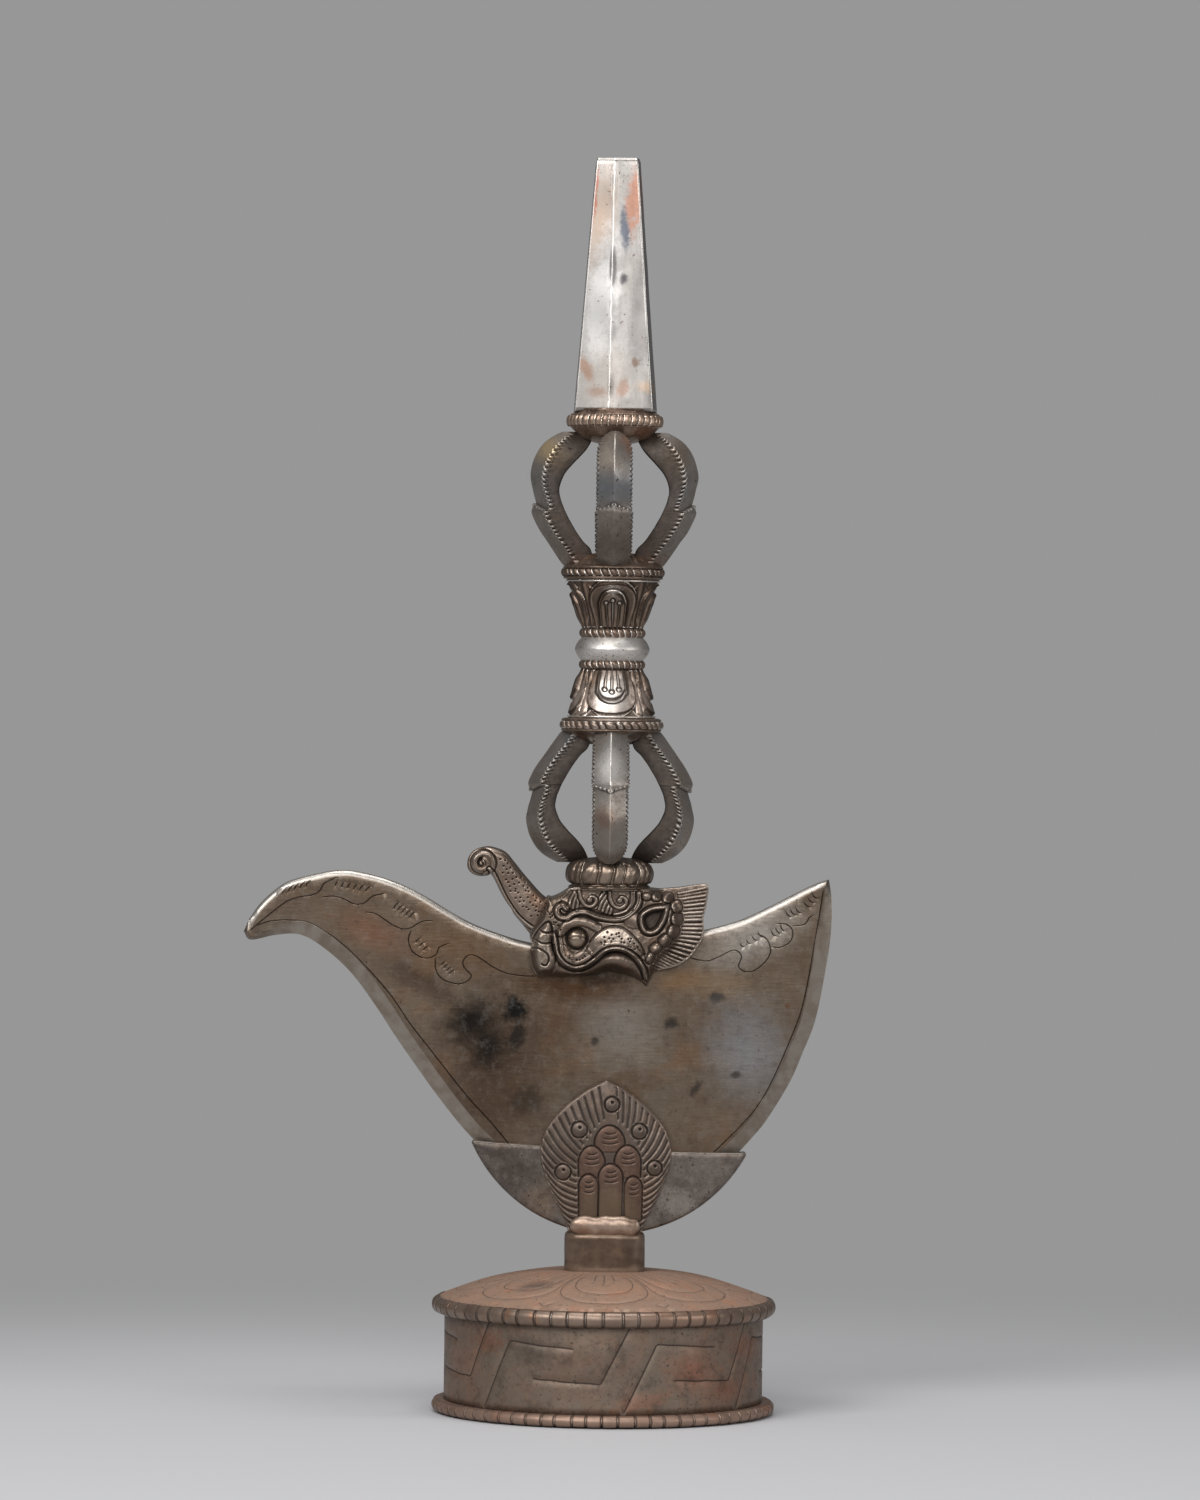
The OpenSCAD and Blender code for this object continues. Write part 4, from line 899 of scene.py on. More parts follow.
def outward(line, turn):
    """Points given as (aside, outward), laid on the lid in that direction from its middle."""
    line = np.asarray(line, float)
    side = np.array([math.cos(turn), math.sin(turn)])
    way = np.array([math.sin(turn), -math.cos(turn)])
    return line[:, :1] * side + line[:, 1:] * way


def dome():
    """The lid, drawn from above: eight lotus petals round the neck, cut as shallow lines. Its
    height follows sin^0.92 from the rim to the neck."""
    low, high = span("lid_dome")
    bottom, top, out = low[2], high[2], high[0]
    lines = []
    petal = curve([(7.3, 19), (10.2, 26), (15.2, 38), (17.6, 46), (16.6, 52.5), (12, 57.5),
                   (5.5, 60.4), (0, 61)], 6)
    core = curve([(5.5, 21.5), (8.8, 28), (11.4, 38), (11, 45), (7.4, 50), (0, 52)], 6)
    tip = curve([(3.4, 61.6), (1.6, 62.9), (0, 64.3)], 3)
    for k in range(8):
        turn = math.radians(45 * k)
        lines += [outward(both_halves(petal), turn), outward(both_halves(core), turn)]
        for u, r in ((-4.2, 36.5), (0, 39.5), (4.2, 36.5)):
            dot = [(u + 0.8 * math.cos(q), r + 1.6 + 0.8 * math.sin(q))
                   for q in np.linspace(0, 5.6, 9)]
            lines += [outward([(u * 0.72, 23), (u, r)], turn), outward(dot, turn)]
        lines.append(outward(both_halves(tip), turn + math.radians(22.5)))
    turn = circle(240)
    outline = out * np.stack([np.cos(turn), np.sin(turn)], 1)
    flat, triangles, sunk, mark = engraved(outline, 2.4, lines, 0.5, 0.32, 1.0, 0.12, 21)
    away = np.hypot(*flat.T)
    swell = np.clip((out - away) / (out - 19.0), 0, 1)
    wave = 0.12 * uneven(*flat.T, 26, 4)
    height = (top - bottom) * np.sin(swell * np.pi / 2) ** 0.92
    height = height + 0.25 * rise(out - away, 0, 1.5) \
        + wave * rise(out - away, 0, 8) * rise(away, 18, 26)
    points, triangles = solid(flat, triangles, height - sunk, np.zeros(len(flat)))
    points = np.stack([points[:, 0], points[:, 2], bottom - points[:, 1]], 1)
    dress("lid_dome", (points, triangles), hollow=np.tile(mark, 2))


def squared_oval(half_x, half_y):
    """Points round |x / half_x|^n + |y / half_y|^n = 1, with n = 3.4."""
    square = 3.4
    turn = circle(240)
    c, d = np.cos(turn), np.sin(turn)
    return np.stack([half_x * np.sign(c) * np.abs(c) ** (2 / square),
                     half_y * np.sign(d) * np.abs(d) ** (2 / square)], 1)


def evenly(loop, count):
    """A closed loop walked in that many equal paces."""
    closed = ring_of(loop)
    along = np.concatenate([[0], np.cumsum(np.linalg.norm(np.diff(closed, axis=0), axis=1))])
    walk = np.linspace(0, along[-1], count, endpoint=False)
    return np.stack([np.interp(walk, along, closed[:, k]) for k in (0, 1)], 1)


def neck():
    """The neck: a squared oval that stands on the lid; its top edge is rounded over."""
    high = span("neck_block")[1]
    top, bottom = high[2], span("lid_dome")[1][2]
    heights = [(bottom - 1.4, 0.0), (bottom, 0.0), (bottom + 0.5, -0.1), (bottom + 2, -0.05)]
    heights += [(z, 0.0) for z in np.linspace(bottom + 4, top - 2.6, 12)]
    heights += [(top - 2.2 + 2.2 * math.sin(q), 2.2 * (1 - math.cos(q)))
                for q in np.radians(np.linspace(0, 90, 9))]
    rings = []
    for z, inset in heights:
        loop = evenly(squared_oval(high[0] - inset, high[1] - inset), 140)
        turn = np.arctan2(loop[:, 1], loop[:, 0]) * 14
        bump = 0.10 * uneven(turn, z + 0 * turn, 11, 6) + 0.02 * uneven(turn, z + 0 * turn, 4, 7)
        loop = loop * (1 + bump / np.linalg.norm(loop, axis=1))[:, None]
        rings.append(np.column_stack([loop, np.full(len(loop), z)]))
    dress("neck_block", tube(rings))


def lump(half, y, z, depth, height, seed):
    """A bead of braze laid along x: ellipses whose size swells and droops unevenly."""
    x = np.linspace(-1, 1, 120)
    turn = circle(40)
    taper = np.sqrt(np.clip(1 - np.abs(x) ** 5, 0, 1))[:, None] * 0.93 + 0.05
    wave = uneven(x * half, 0 * x, 8, seed)[:, None]
    fine = uneven(x[:, None] * half + 0 * turn, 5 * np.sin(turn)[None] + 0 * x[:, None], 3.6,
                  seed + 1)
    swell = 1 + 0.04 * wave + 0.016 * fine
    droop = 0.5 * uneven(x * half, 0 * x, 9, seed + 2)[:, None]
    rings = np.stack([np.broadcast_to(x[:, None] * half, swell.shape),
                      y + depth * taper * swell * np.cos(turn)[None],
                      z + height * taper * swell * np.sin(turn)[None] + droop * np.abs(
                          np.sin(turn))[None] * taper], -1)
    return tube(rings)


def braze():
    """The lumps of braze at the leaves' feet, each run down in its own way."""
    low, high = span("braze_front")
    for node, seed in (("braze_front", 31), ("braze_back", 47)):
        shape = lump(high[0], low[1] + 2.1, low[2] + 2.9, 2.5, 4.2, seed)
        mark = np.clip(hollows(*shape, scale=0.4), -0.3, 0.5)
        dress(node, mirrored(shape) if node == "braze_back" else shape, hollow=mark)


def half_moon():
    """Outline of a cradle plate: the part of a circle under a slightly hollow, tilted chord."""
    centre, radius, chord, tilt = (2.2, 135.9), 63.0, -27.0, math.radians(-1.9)
    reach = math.sqrt(radius ** 2 - chord ** 2)
    x = np.linspace(reach - 1.2, -reach + 1.2, 60)
    top = np.stack([x, chord - 1.2 * (1 - (x / reach) ** 2)], 1)
    start, end = math.atan2(chord, -reach), math.atan2(chord, reach)
    turn = np.linspace(start + 0.012, end - 0.012, 110)
    bottom = radius * np.stack([np.cos(turn), np.sin(turn)], 1)
    line = np.vstack([top, bottom])
    return np.stack(rotated(*line.T, tilt), 1) + centre


def cradle():
    """The two half-moon plates: their edges are rolled over by 0.6 mm and their faces dished."""
    low, high = span("cradle_front")
    outline = paced(ring_of(half_moon()), 0.9)[:-1]
    rails = []
    area = (outline[:, 0] * np.roll(outline[:, 1], -1) - np.roll(outline[:, 0], -1)
            * outline[:, 1]).sum()
    for inset in (0.45, 1.0):
        line = beside(ring_of(outline), inset if area > 0 else -inset)[:-1]
        away = from_line(*line.T, ring_of(outline))
        rails.append(ring_of(line[away > inset * 0.93]))
    flat, triangles = filled(outline, 1.5, rails)
    away = from_line(*flat.T, ring_of(outline))
    roll = vee(away, 1.0) ** 2 * 0.6
    dish = 0.10 * uneven(*flat.T, 22, 11) * rise(away, 0.5, 5)
    front = -low[1] - roll + dish
    # The rolled edge is lightened, as wear and as a painted highlight.
    mark = np.where(away < 0.3, -0.8, 0.0)
    shape = solid(flat, triangles, front, high[1] + 0 * roll)
    dress_pair("cradle", shape, hollow=np.tile(mark, 2))


# Drilled eyes of the leaf: x, z and radius; its scales: left, right, top, end, arch
EYES = [
    (2.3, 126.5, 3.2), (-11, 116, 3.4), (13.7, 115.6, 3.3), (-17.5, 98.5, 3.4), (20.1, 100.5, 3.2)]
SCALES = [
    (-4.9, 7.9, 118, 107, 7.6), (-11.4, -0.2, 109.5, 96.7, 7), (3.4, 14.6, 109.9, 96.6, 7),
    (-3.1, 7.2, 102.2, 79.5, 5.6), (-11.1, -2.8, 97.9, 79.8, 5), (7.5, 15.3, 97.2, 79, 5)]
# Each side of the leaf: its sign, and the curves where its barbs start and end
BARB_SIDES = [
    (-1, [(-8, 72), (-10.4, 85), (-11.2, 98), (-9.4, 108), (-5.4, 114.5), (-2.6, 118.5),
     (0.6, 120.5)], [(-16.6, 78.5), (-22, 90), (-25.8, 101), (-26.4, 109), (-23.4, 116.5),
     (-14.5, 125.6), (-3, 134.2)]),
    (1, [(10.6, 72), (14.2, 85), (15, 98), (13.4, 108), (9.4, 114.5), (6.4, 118.5), (3.4, 120.5)],
     [(17, 78.5), (22.2, 90), (26, 101), (26.4, 109), (23.4, 116.5), (14.8, 125.6), (3.6, 134.4)])]


def barbs():
    """Lines that sweep from an inner to an outer curve on each side, bowed as half a sine."""
    lines = []
    for sign, inner, outer in BARB_SIDES:
        a, b = paced(curve(inner, 12), 0.4), paced(curve(outer, 12), 0.4)
        for share in (np.arange(20) + 0.5) / 20:
            p = a[int(share * (len(a) - 1))]
            q = b[int(min(share * 1.02, 1) * (len(b) - 1))]
            run = q - p
            bow = np.array([run[1], -run[0]]) * sign * 0.17 * (1 - share)
            t = np.linspace(0.02, 1.0, 14)[:, None]
            lines.append(p + run * t + bow * np.sin(np.pi * t))
    return lines


def scale_outline(left, right, top, end, round_h):
    """One scale: straight sides that run down to `end`, under a round arch `round_h` high."""
    mid, wide = (left + right) / 2, (right - left) / 2
    q = np.linspace(np.pi, 0, 40)
    arch = np.stack([mid + wide * np.cos(q), top - round_h + round_h * np.sin(q) ** 1.15], 1)
    return np.vstack([[(mid - wide * 0.96, end)], arch, [(mid + wide * 0.96, end)]])


def scale_arcs(left, right, top):
    """Three shallow arcs under the top of a scale."""
    mid, wide = (left + right) / 2, (right - left) / 2
    t = np.linspace(-1, 1, 9)
    return [np.stack([mid + 0.3 + wide * (0.42 + 0.07 * k) * t,
                      top - 3.0 - 2.0 * k - 0.75 * (1 - t * t) + 0.15 * t], 1) for k in range(3)]


def leaf():
    """The feather leaf: barbs sweep from the scales to the edge, round five eyes, and the
    scales overlap like tiles, each with its own arcs."""
    low, high = span("leaf_front")
    foot, tall, half = low[2], high[2] - low[2], 27.0
    side = curve([(.56, 0), (.62, .08), (.84, .27), (.98, .46), (.99, .56), (.90, .68), (.68, .80),
                  (.34, .92), (0, 1)], 8)
    outline = both_halves(paced(side * [half, tall] + [0, foot], 0.55))
    flat, triangles = filled(outline, 0.31)
    x, z = flat.T
    away = from_line(x, z, ring_of(outline))
    crown = 1 - vee(away, 17) ** 2
    height = 1.45 + 2.1 * crown - 0.55 * vee(away, 0.7) ** 2
    cut = strokes(x, z, barbs(), 0.85, 0.45, 0.9)
    for ex, ez, er in EYES:
        out = np.hypot(x - ex, z - ez)
        cut = np.where(out < er + 0.9, cut * rise(out, er + 0.1, er + 0.9), cut)
        ring = 0.5 * bell(out - er, 0.55)
        domed = 0.75 * round_over(out, er - 0.3)
        drill = 0.9 * bell(np.hypot(x - ex - 0.2, z - ez - 0.9), 0.95)
        height = height - ring + np.where(out < er, domed - 0.35 - drill, 0)
    tint = np.zeros(len(x))
    for left, right, top, end, round_h in SCALES:
        shape = scale_outline(left, right, top, end, round_h)
        within, edge = inside(x, z, shape), from_line(x, z, shape)
        puff = 0.5 * (1 - vee(edge, 2.6) ** 2)
        height = np.where(within, 1.45 + 2.1 * crown - 0.25 + puff, height)
        tint = np.where(within, 1.0, tint)
        cut = np.maximum(np.where(within, 0, cut), 0.55 * bell(edge, 0.5))
        cut = np.maximum(cut, strokes(x, z, scale_arcs(left, right, top), 0.42, 0.32, 0.8))
    plate = -high[1]
    front = plate + height - cut + 0.06 * uneven(x, z, 9, 3)
    shape = solid(flat, triangles, np.minimum(front, -low[1]), np.full(len(x), -plate))
    mark = np.clip(hollows(*shape, rounds=3, scale=0.12), -0.35, 1.4)
    mark[:len(x)] = np.where(away < 0.4, -0.9, mark[:len(x)])
    dress_pair("leaf", shape, hollow=mark, scales=np.concatenate([tint, tint * 0]))


foot_ring()
lid_ring()
drum()
dome()
neck()
braze()
cradle()
leaf()


# Pieces of the chopper

def relieved(section, angles, move, rounds, scale):
    """A turned piece with a relief; its mark leaves out the roundness of the plain section."""
    shape = turned(section, angles, move)
    plain = turned(section, angles, lambda turn, line: 0 * turn + 0 * line[..., 0])
    return shape, hollows(*shape, rounds, scale) - hollows(*plain, rounds, scale)


def dress_turned(node, section, angles, move, rounds, scale):
    """Dresses a node in a turned piece with a relief."""
    shape, mark = relieved(section, angles, move, rounds, scale)
    dress(node, shape, hollow=mark)


def lobes(angles, height, count, slant, seed, uneven_by=0.14):
    """Round lobes about the axis, sqrt(1 - t^2) across each, t from -1 to 1. The slant turns
    them by that many radians per mm of height; their widths and heights vary a little."""
    chance = np.random.default_rng(seed)
    shift, size = chance.uniform(-uneven_by, uneven_by, count), chance.uniform(0.8, 1.12, count)
    turns = (angles + slant * height) * count / (2 * np.pi)
    k = np.floor(turns).astype(int)
    k = np.where(turns < k + shift[k % count], k - 1, k)
    k = np.where(turns >= k + 1 + shift[(k + 1) % count], k + 1, k)
    start, end = k + shift[k % count], k + 1 + shift[(k + 1) % count]
    t = 2 * (turns - start) / (end - start) - 1
    return size[k % count] * round_over(t, 1)


def bead_ring(node):
    """A ring of 27 round beads between two thin shoulders."""
    radius, count, seed = 13.5, 27, 55
    low, high = span(node)
    z, tall = low[2], high[2] - low[2]
    turn = np.radians(np.linspace(-90, 90, 15))
    bead = tall / 2 - 0.15
    arc = np.stack([radius - bead + bead * np.cos(turn), z + tall / 2 + bead * np.sin(turn)], 1)
    section = np.vstack([[[BORE, z], [radius - bead - 0.8, z]], arc,
                         [[radius - bead - 0.8, z + tall], [BORE, z + tall]]])

    def move(angles, line):
        """Round beads, on the outer half of the section."""
        share = np.clip((line[..., 0] - radius + bead) / bead, 0, 1) ** 0.7
        return (lobes(angles, line[..., 1] - z, count, 0.02, seed) - 0.9) * 1.15 * share
    dress_turned(node, section, circle(count * 13), move, 3, 0.12)


def hub_ring(node, up, seed):
    """Hub of a cage: a band of slanted beads between two lips, and a pool of braze that rises
    between the prongs' feet. `up` is 1 where the cage stands on it and -1 where it hangs."""
    low, high = span(node)
    beads, tall = 36, 10.6
    base = low[2] if up > 0 else high[2]
    profile = curve([[19.0, 0.0], [20.2, 0.35], [20.5, 0.9], [19.9, 1.45]], 3)[:-1]
    profile = np.vstack([profile, curve([[19.75, 1.6], [20.35, 2.1], [20.6, 2.9], [20.4, 3.7],
                                         [19.8, 4.2]], 4)[:-1],
                         curve([[19.8, 4.25], [20.5, 4.6], [20.6, 5.1], [19.9, 5.55], [18.4, 6.1],
                                [16.4, 7.1], [13.4, 8.9], [10, 10.1], [6.2, tall]], 5)])
    section = np.vstack([[[BORE, 0.0]], profile, [[BORE, tall]]])
    section = np.stack([section[:, 0], base + up * section[:, 1]], 1)

    def move(angles, line):
        """Round slanted beads in a band, and an uneven pool above it."""
        h = (line[..., 1] - base) * up
        band = rise(h, 1.35, 1.9) * (1 - rise(h, 3.8, 4.35)) * rise(line[..., 0], 15, 18)
        pool = rise(h, 5.5, 7) * uneven(angles * 16, h, 5, seed) * 0.5
        return band * (lobes(angles, h, beads, 0.026 * up, seed) - 0.4) * 1.3 + pool
    dress_turned(node, section, circle(beads * 14), move, 4, 0.13)


def lotus(node, up, spread, arch_top, core_top, core_half, band_up, wire, gutter, gloom, seed):
    """A lotus, wide end up or down: four broad petals, each an arched band and a raised core
    with three grooves that end in dots; fluted tips show between them. `spread` is how much
    wider the wide end is, `band_up` the height of the band, `wire` that of the thin ridge along
    its edge, `gutter` the half width of the groove round the core and `gloom` how dark the
    ground is."""
    low, high = span(node)
    tall = high[2] - low[2]
    h = np.linspace(0, tall, 92)
    t = h / tall
    radius = 12.3 + (spread + 0.4) * t ** 1.1 + 0.5 * rise(t, 0.9, 1.0)
    section = np.vstack([[[BORE, 0.0]], np.stack([radius, h], 1), [[BORE, tall]]])
    arch = curve([(7.4, -1), (8.6, 4), (10.2, 9), (10.6, 12), (9.6, 15.2), (6.4, arch_top - 0.9),
                  (2.4, arch_top - 0.1), (0, arch_top)], 6)
    arch = both_halves(arch)
    core = curve([(core_half * 0.78, -1), (core_half * 0.9, 4), (core_half, 9),
                  (core_half * 0.97, core_top - 4), (core_half * 0.72, core_top - 1.4),
                  (core_half * 0.3, core_top - 0.15), (0, core_top)], 6)
    core = both_halves(core)
    dark = []

    def move(angles, line):
        """Arch, wire and core of the petal in front, and flutes between the petals; `dark` gets
        how dark each point is, with grime, painted shade and painted highlights."""
        level = line[..., 1] + 0 * angles
        around = line[..., 0]
        quarter = np.pi / 2
        main = ((angles + quarter / 2) % quarter - quarter / 2) * around
        between = (angles % quarter - quarter / 2) * around
        shown = np.broadcast_to(around > 10, main.shape)
        u, b, z = main.ravel(), between.ravel(), level.ravel()
        in_core = inside(u, z, core)
        to_arch, to_core = from_line(u, z, arch), from_line(u, z, core)
        into_arch = np.where(inside(u, z, arch), to_arch, -to_arch)
        into_core = np.where(in_core, to_core, -to_core)
        fan = 0.42 + 0.58 * z / tall
        tip = rise(tall - 0.95 * np.abs(b) - z, 0.0, 0.6)
        flutes = np.abs(np.cos(np.pi * b / (4.4 * fan))) ** (4 if wire else 0.5)
        out = (0.95 * flutes - 0.75) * rise(z, -1, 2) * tip - 0.9 * (1 - tip)
        out = np.where(into_arch > 0, band_up, out)
        out = out - 0.75 * bell(into_arch + 0.1, 0.65)
        out = out + wire * bell(into_arch - 0.75, 0.55)
        out = out - 0.8 * bell(into_core + 0.55, gutter)
        rim = 1.35 * round_over(1 - np.clip(into_core / 1.1, 0, 1), 1)
        out = np.where(in_core, band_up - 0.15 + rim, out)
        # The grooves round the core and inside the arch darken as grime and painted shade.
        grime_shade_and_highlight = np.maximum(1.2 * bell(into_core + 0.8, gutter), 0.8 * bell(into_arch + 0.2, 0.5))
        wider = (1.0 if wire else 0.2) * rise(z, core_top - 5, core_top - 1)
        crown = in_core * bell(into_core - 0.8, 0.5 + wider)
        edge = bell(into_arch - 0.75, 0.55)
        grime_shade_and_highlight = np.maximum(grime_shade_and_highlight, gloom * (1 - crown) * (1 - edge) * (1 - 0.7 * in_core))
        # Painted highlights on the crown of the core and on the wire.
        if wire:
            grime_shade_and_highlight = grime_shade_and_highlight - np.maximum(0.8 * crown, 0.8 * edge)
        for lateral, end in ((-2.65, core_top - 4.2), (0, core_top - 3.2), (2.65, core_top - 4.2)):
            stem = bell(u - lateral * (0.72 + 0.28 * z / end), 0.45) * (z < end - 1.0)
            dot = np.hypot(u - lateral, z - end)
            out = out - in_core * (0.9 * stem + 1.0 * bell(dot, 1.1) - 0.5 * bell(dot, 0.5))
            # The stems and the rings of the dots darken as grime and painted shade.
            grime_shade_and_highlight = np.maximum(grime_shade_and_highlight, in_core * np.maximum(1.2 * stem, 1.5 * bell(dot - 0.85, 0.6)))
        dark.append(grime_shade_and_highlight * shown.ravel())
        out = out * (0.3 + 0.7 * rise(z, 0, 5))
        return out.reshape(main.shape) * shown + 0.05 * uneven(angles * 14, level, 5, seed) * shown
    (points, triangles), mark = relieved(section, circle(472), move, 6, 0.16)
    points[:, 2] = low[2] + points[:, 2] if up > 0 else high[2] - points[:, 2]
    dress(node, (points, triangles), hollow=mark + 1.1 * dark[0])


def knob():
    """The plain knob: a full round belly, slightly faceted by filing."""
    low, high = span("grip_knob")
    z, tall, out = low[2] - 0.95, high[2] - low[2] + 1.9, high[0]
    belly = curve([[12.2, 0], [13.3, 1.1], [14.5, 2.8], [15.25, 4.4], [15.4, 5.3], [15.1, 6.5],
                   [14.2, 8.1], [12.9, 9.6], [11.8, 10.6]], 6)
    section = np.vstack([[[BORE, z]], belly * [out / 15.4, tall / 10.6] + [0, z],
                         [[BORE, z + tall]]])

    def move(angles, line):
        """Gentle waves, on the belly alone."""
        return 0.09 * uneven(angles * 15, line[..., 1], 7, 12) * (line[..., 0] > 9)
    dress_turned("grip_knob", section, circle(180), move, 3, 0.3)


def neck_collar():
    """Collar of uneven gadroons over a thin flange."""
    z = span("neck_collar")[0][2]
    gadroons = 17
    profile = curve([[16.4, -0.3], [16.9, 0.4], [16.2, 1.2]], 4)[:-1]
    profile = np.vstack([profile, curve([[15.4, 1.5], [16.9, 3.0], [17.5, 5.2], [17.4, 7.4],
                                         [16.3, 9.6], [14.2, 11.1], [11.0, 12.0], [6.2, 12.6]], 8)])
    section = np.vstack([[[BORE, -0.3]], profile, [[BORE, 12.6]]]) + [0, z]

    def move(angles, line):
        """Broad gadroons with narrow gaps, and gentle waves."""
        h = line[..., 1] - z
        band = rise(h, 1.4, 2.8) * (1 - rise(h, 8.4, 12.2))
        wide = np.clip(lobes(angles + 0.03 * np.sin(h * 0.6), h, gadroons, 0, 4, 0.3), 0, 1)
        return band * ((1 - (1 - wide ** 2) ** 2.2) * 1.7 - 1.1) \
            + 0.16 * uneven(angles * 16, h, 4, 9) * (line[..., 0] > 9)
    dress_turned("neck_collar", section, circle(gadroons * 32), move, 4, 0.15)


def tip_collar():
    """Collar under the spike: a flared saddle over slanted beads, and a smooth bowl below."""
    z = span("tip_collar")[1][2] - 9.0
    count = 38
    profile = curve([[5.2, -5.0], [10, -3.9], [13.6, -2.4], [16.2, 0.0], [17.8, 1.5], [18.5, 2.1]],
                    4)[:-1]
    beads = curve([[18.4, 2.2], [19.1, 3.0], [19.4, 4.4], [19.1, 5.9], [18.4, 6.7]], 5)[:-1]
    saddle = curve([[18.3, 6.8], [18.4, 7.0], [17.9, 7.4], [17.2, 7.9], [16.6, 8.5],
                    [16.4, 9.4]], 4)
    section = np.vstack([profile, beads, saddle, [[5.2, 9.4]]]) + [0, z]

    def move(angles, line):
        """Round beads that lean a little, and gentle waves."""
        h = line[..., 1] - z
        band = rise(h, 2.05, 2.8) * (1 - rise(h, 6.2, 6.9)) * rise(line[..., 0], 16, 18)
        return band * (lobes(angles, h, count, -0.008, 17) - 0.4) * 1.1 \
            + 0.07 * uneven(angles * 17, h, 6, 5) * (line[..., 0] > 9)
    dress_turned("tip_collar", section, circle(count * 13), move, 4, 0.13)


def spike():
    """The spike: four faces drawn in towards the top, a low ridge down each broad face, its
    corners rounded over by hand and its faces left a little wavy by the hammer."""
    low, high = span("spike")
    z0, z1 = low[2] - 0.6, high[2]
    levels = np.linspace(0, 1, 70)
    at_corner, at_face = 5, 6
    loops = []
    for t in levels:
        # Half width, half depth and the height of the ridge at that level
        w, d, p = 16.2 + (8.6 - 16.2) * t, 10.6 + (6.4 - 10.6) * t, 1.8 * (1 - 0.47 * t)
        c = np.array([(w, d), (0, d + p), (-w, d), (-w - p / 2, 0), (-w, -d),
                      (-0.12 * w, -d - p), (w, -d), (w + p / 2, 0)])
        run_in, run_out = c - np.roll(c, 1, 0), np.roll(c, -1, 0) - c
        run_in /= np.linalg.norm(run_in, axis=1, keepdims=True)
        run_out /= np.linalg.norm(run_out, axis=1, keepdims=True)
        bevel = np.array([0.7, 0.25, 0.7, 0.5] * 2)[:, None]
        line = []
        for k in np.linspace(-1, 1, at_corner):
            line.append(c + (run_in if k < 0 else run_out) * bevel * k
                        + (run_out - run_in) * bevel * (1 - abs(k)) ** 2 * 0.25)
        start = c + run_out * bevel * 1.5
        end = np.roll(c, -1, 0) - run_out * np.roll(bevel, -1, 0) * 1.5
        for k in np.linspace(0, 1, at_face):
            line.append(start + (end - start) * k)
        loops.append(np.stack(line, 1).reshape(-1, 2))
    loops = np.array(loops)
    count = loops.shape[1]
    z = (z0 + (z1 - z0) * levels)[:, None] + np.zeros((1, count))
    on_corner = np.arange(count) % (at_corner + at_face) < at_corner
    face = loops[..., 0] * 1.4 + 20 * np.sign(loops[..., 1])
    wave = 0.13 * uneven(z * 0.7, face, 17, 23) * np.where(on_corner, 0.3, 1.0)
    loops = loops * (1 + wave / np.linalg.norm(loops, axis=2))[..., None]
    end = np.clip((levels - 0.992) / 0.008, 0, 1) ** 2
    loops = loops * (1 - 0.05 * end)[:, None, None]
    x, y = rotated(loops[..., 0], loops[..., 1], math.radians(-4))
    # The rounded corners are lightened, as wear and as a painted highlight.
    mark = np.tile(np.where(on_corner, -0.8, 0.0), len(levels))
    dress("spike", tube(np.stack([x, y, z], -1)), hollow=np.append(mark, [0, 0]))


# Along a prong, from its hub: radius and height of its back, then of its inner face
STATIONS = [
    (20, 0, 8.3, 0), (21.3, 1.8, 8.4, 3), (23.7, 5.5, 9.6, 7), (26.6, 10, 12.5, 10),
    (29.2, 14, 15.4, 14), (31.3, 18.2, 17.9, 18.2), (32.5, 21.7, 19.4, 21),
    (31.9, 24.6, 20.6, 23.6), (33.3, 30.2, 22, 27.5), (34.5, 36.2, 22.6, 32),
    (33.7, 42, 20.6, 37.5), (31.6, 46.9, 17, 42), (29, 50.4, 13.8, 45.4),
    (25.6, 53, 11.4, 48.2), (22, 54.8, 9.6, 51.4), (18.6, 56.2, 8.2, 55.2)]
# The side of a prong's section, from the facet's edge down to the middle of the inner face:
# how far across, how far toward the inner face, the drop below the facet, the bead's share
SHOULDER = [
    (0.985, 0, 0.5, 0.8), (1, 0, 1.15, 1), (0.995, 0, 1.75, 0.8), (0.985, 0, 2.3, 0.15),
    (0.98, 0.12, 2.3, 0), (0.97, 0.5, 2.3, 0), (0.955, 0.94, 2.3, 0), (0.93, 1, 2.3, 0),
    (0.5, 1, 2.3, 0)]
STATION_STEPS = 24
DRAWN_HEIGHT = 55.0


def prong_section():
    """Round the section of a prong: across, toward the inner face, drop and bead, as in
    SHOULDER. The two facets have a drop of -1."""
    facet = np.concatenate([-np.linspace(1, 0.02, 22), [0], np.linspace(0.02, 1, 22)]) * 0.965
    beads = np.zeros(45)
    beads[[0, -1]] = 0.2
    facets = np.stack([facet, 0 * facet, 0 * facet - 1, beads], 1)
    right = np.array(SHOULDER)
    left = right[::-1] * [-1, 1, 1, 1]
    return np.vstack([[(0, 1, 2.3, 0)], left, facets, right]).T


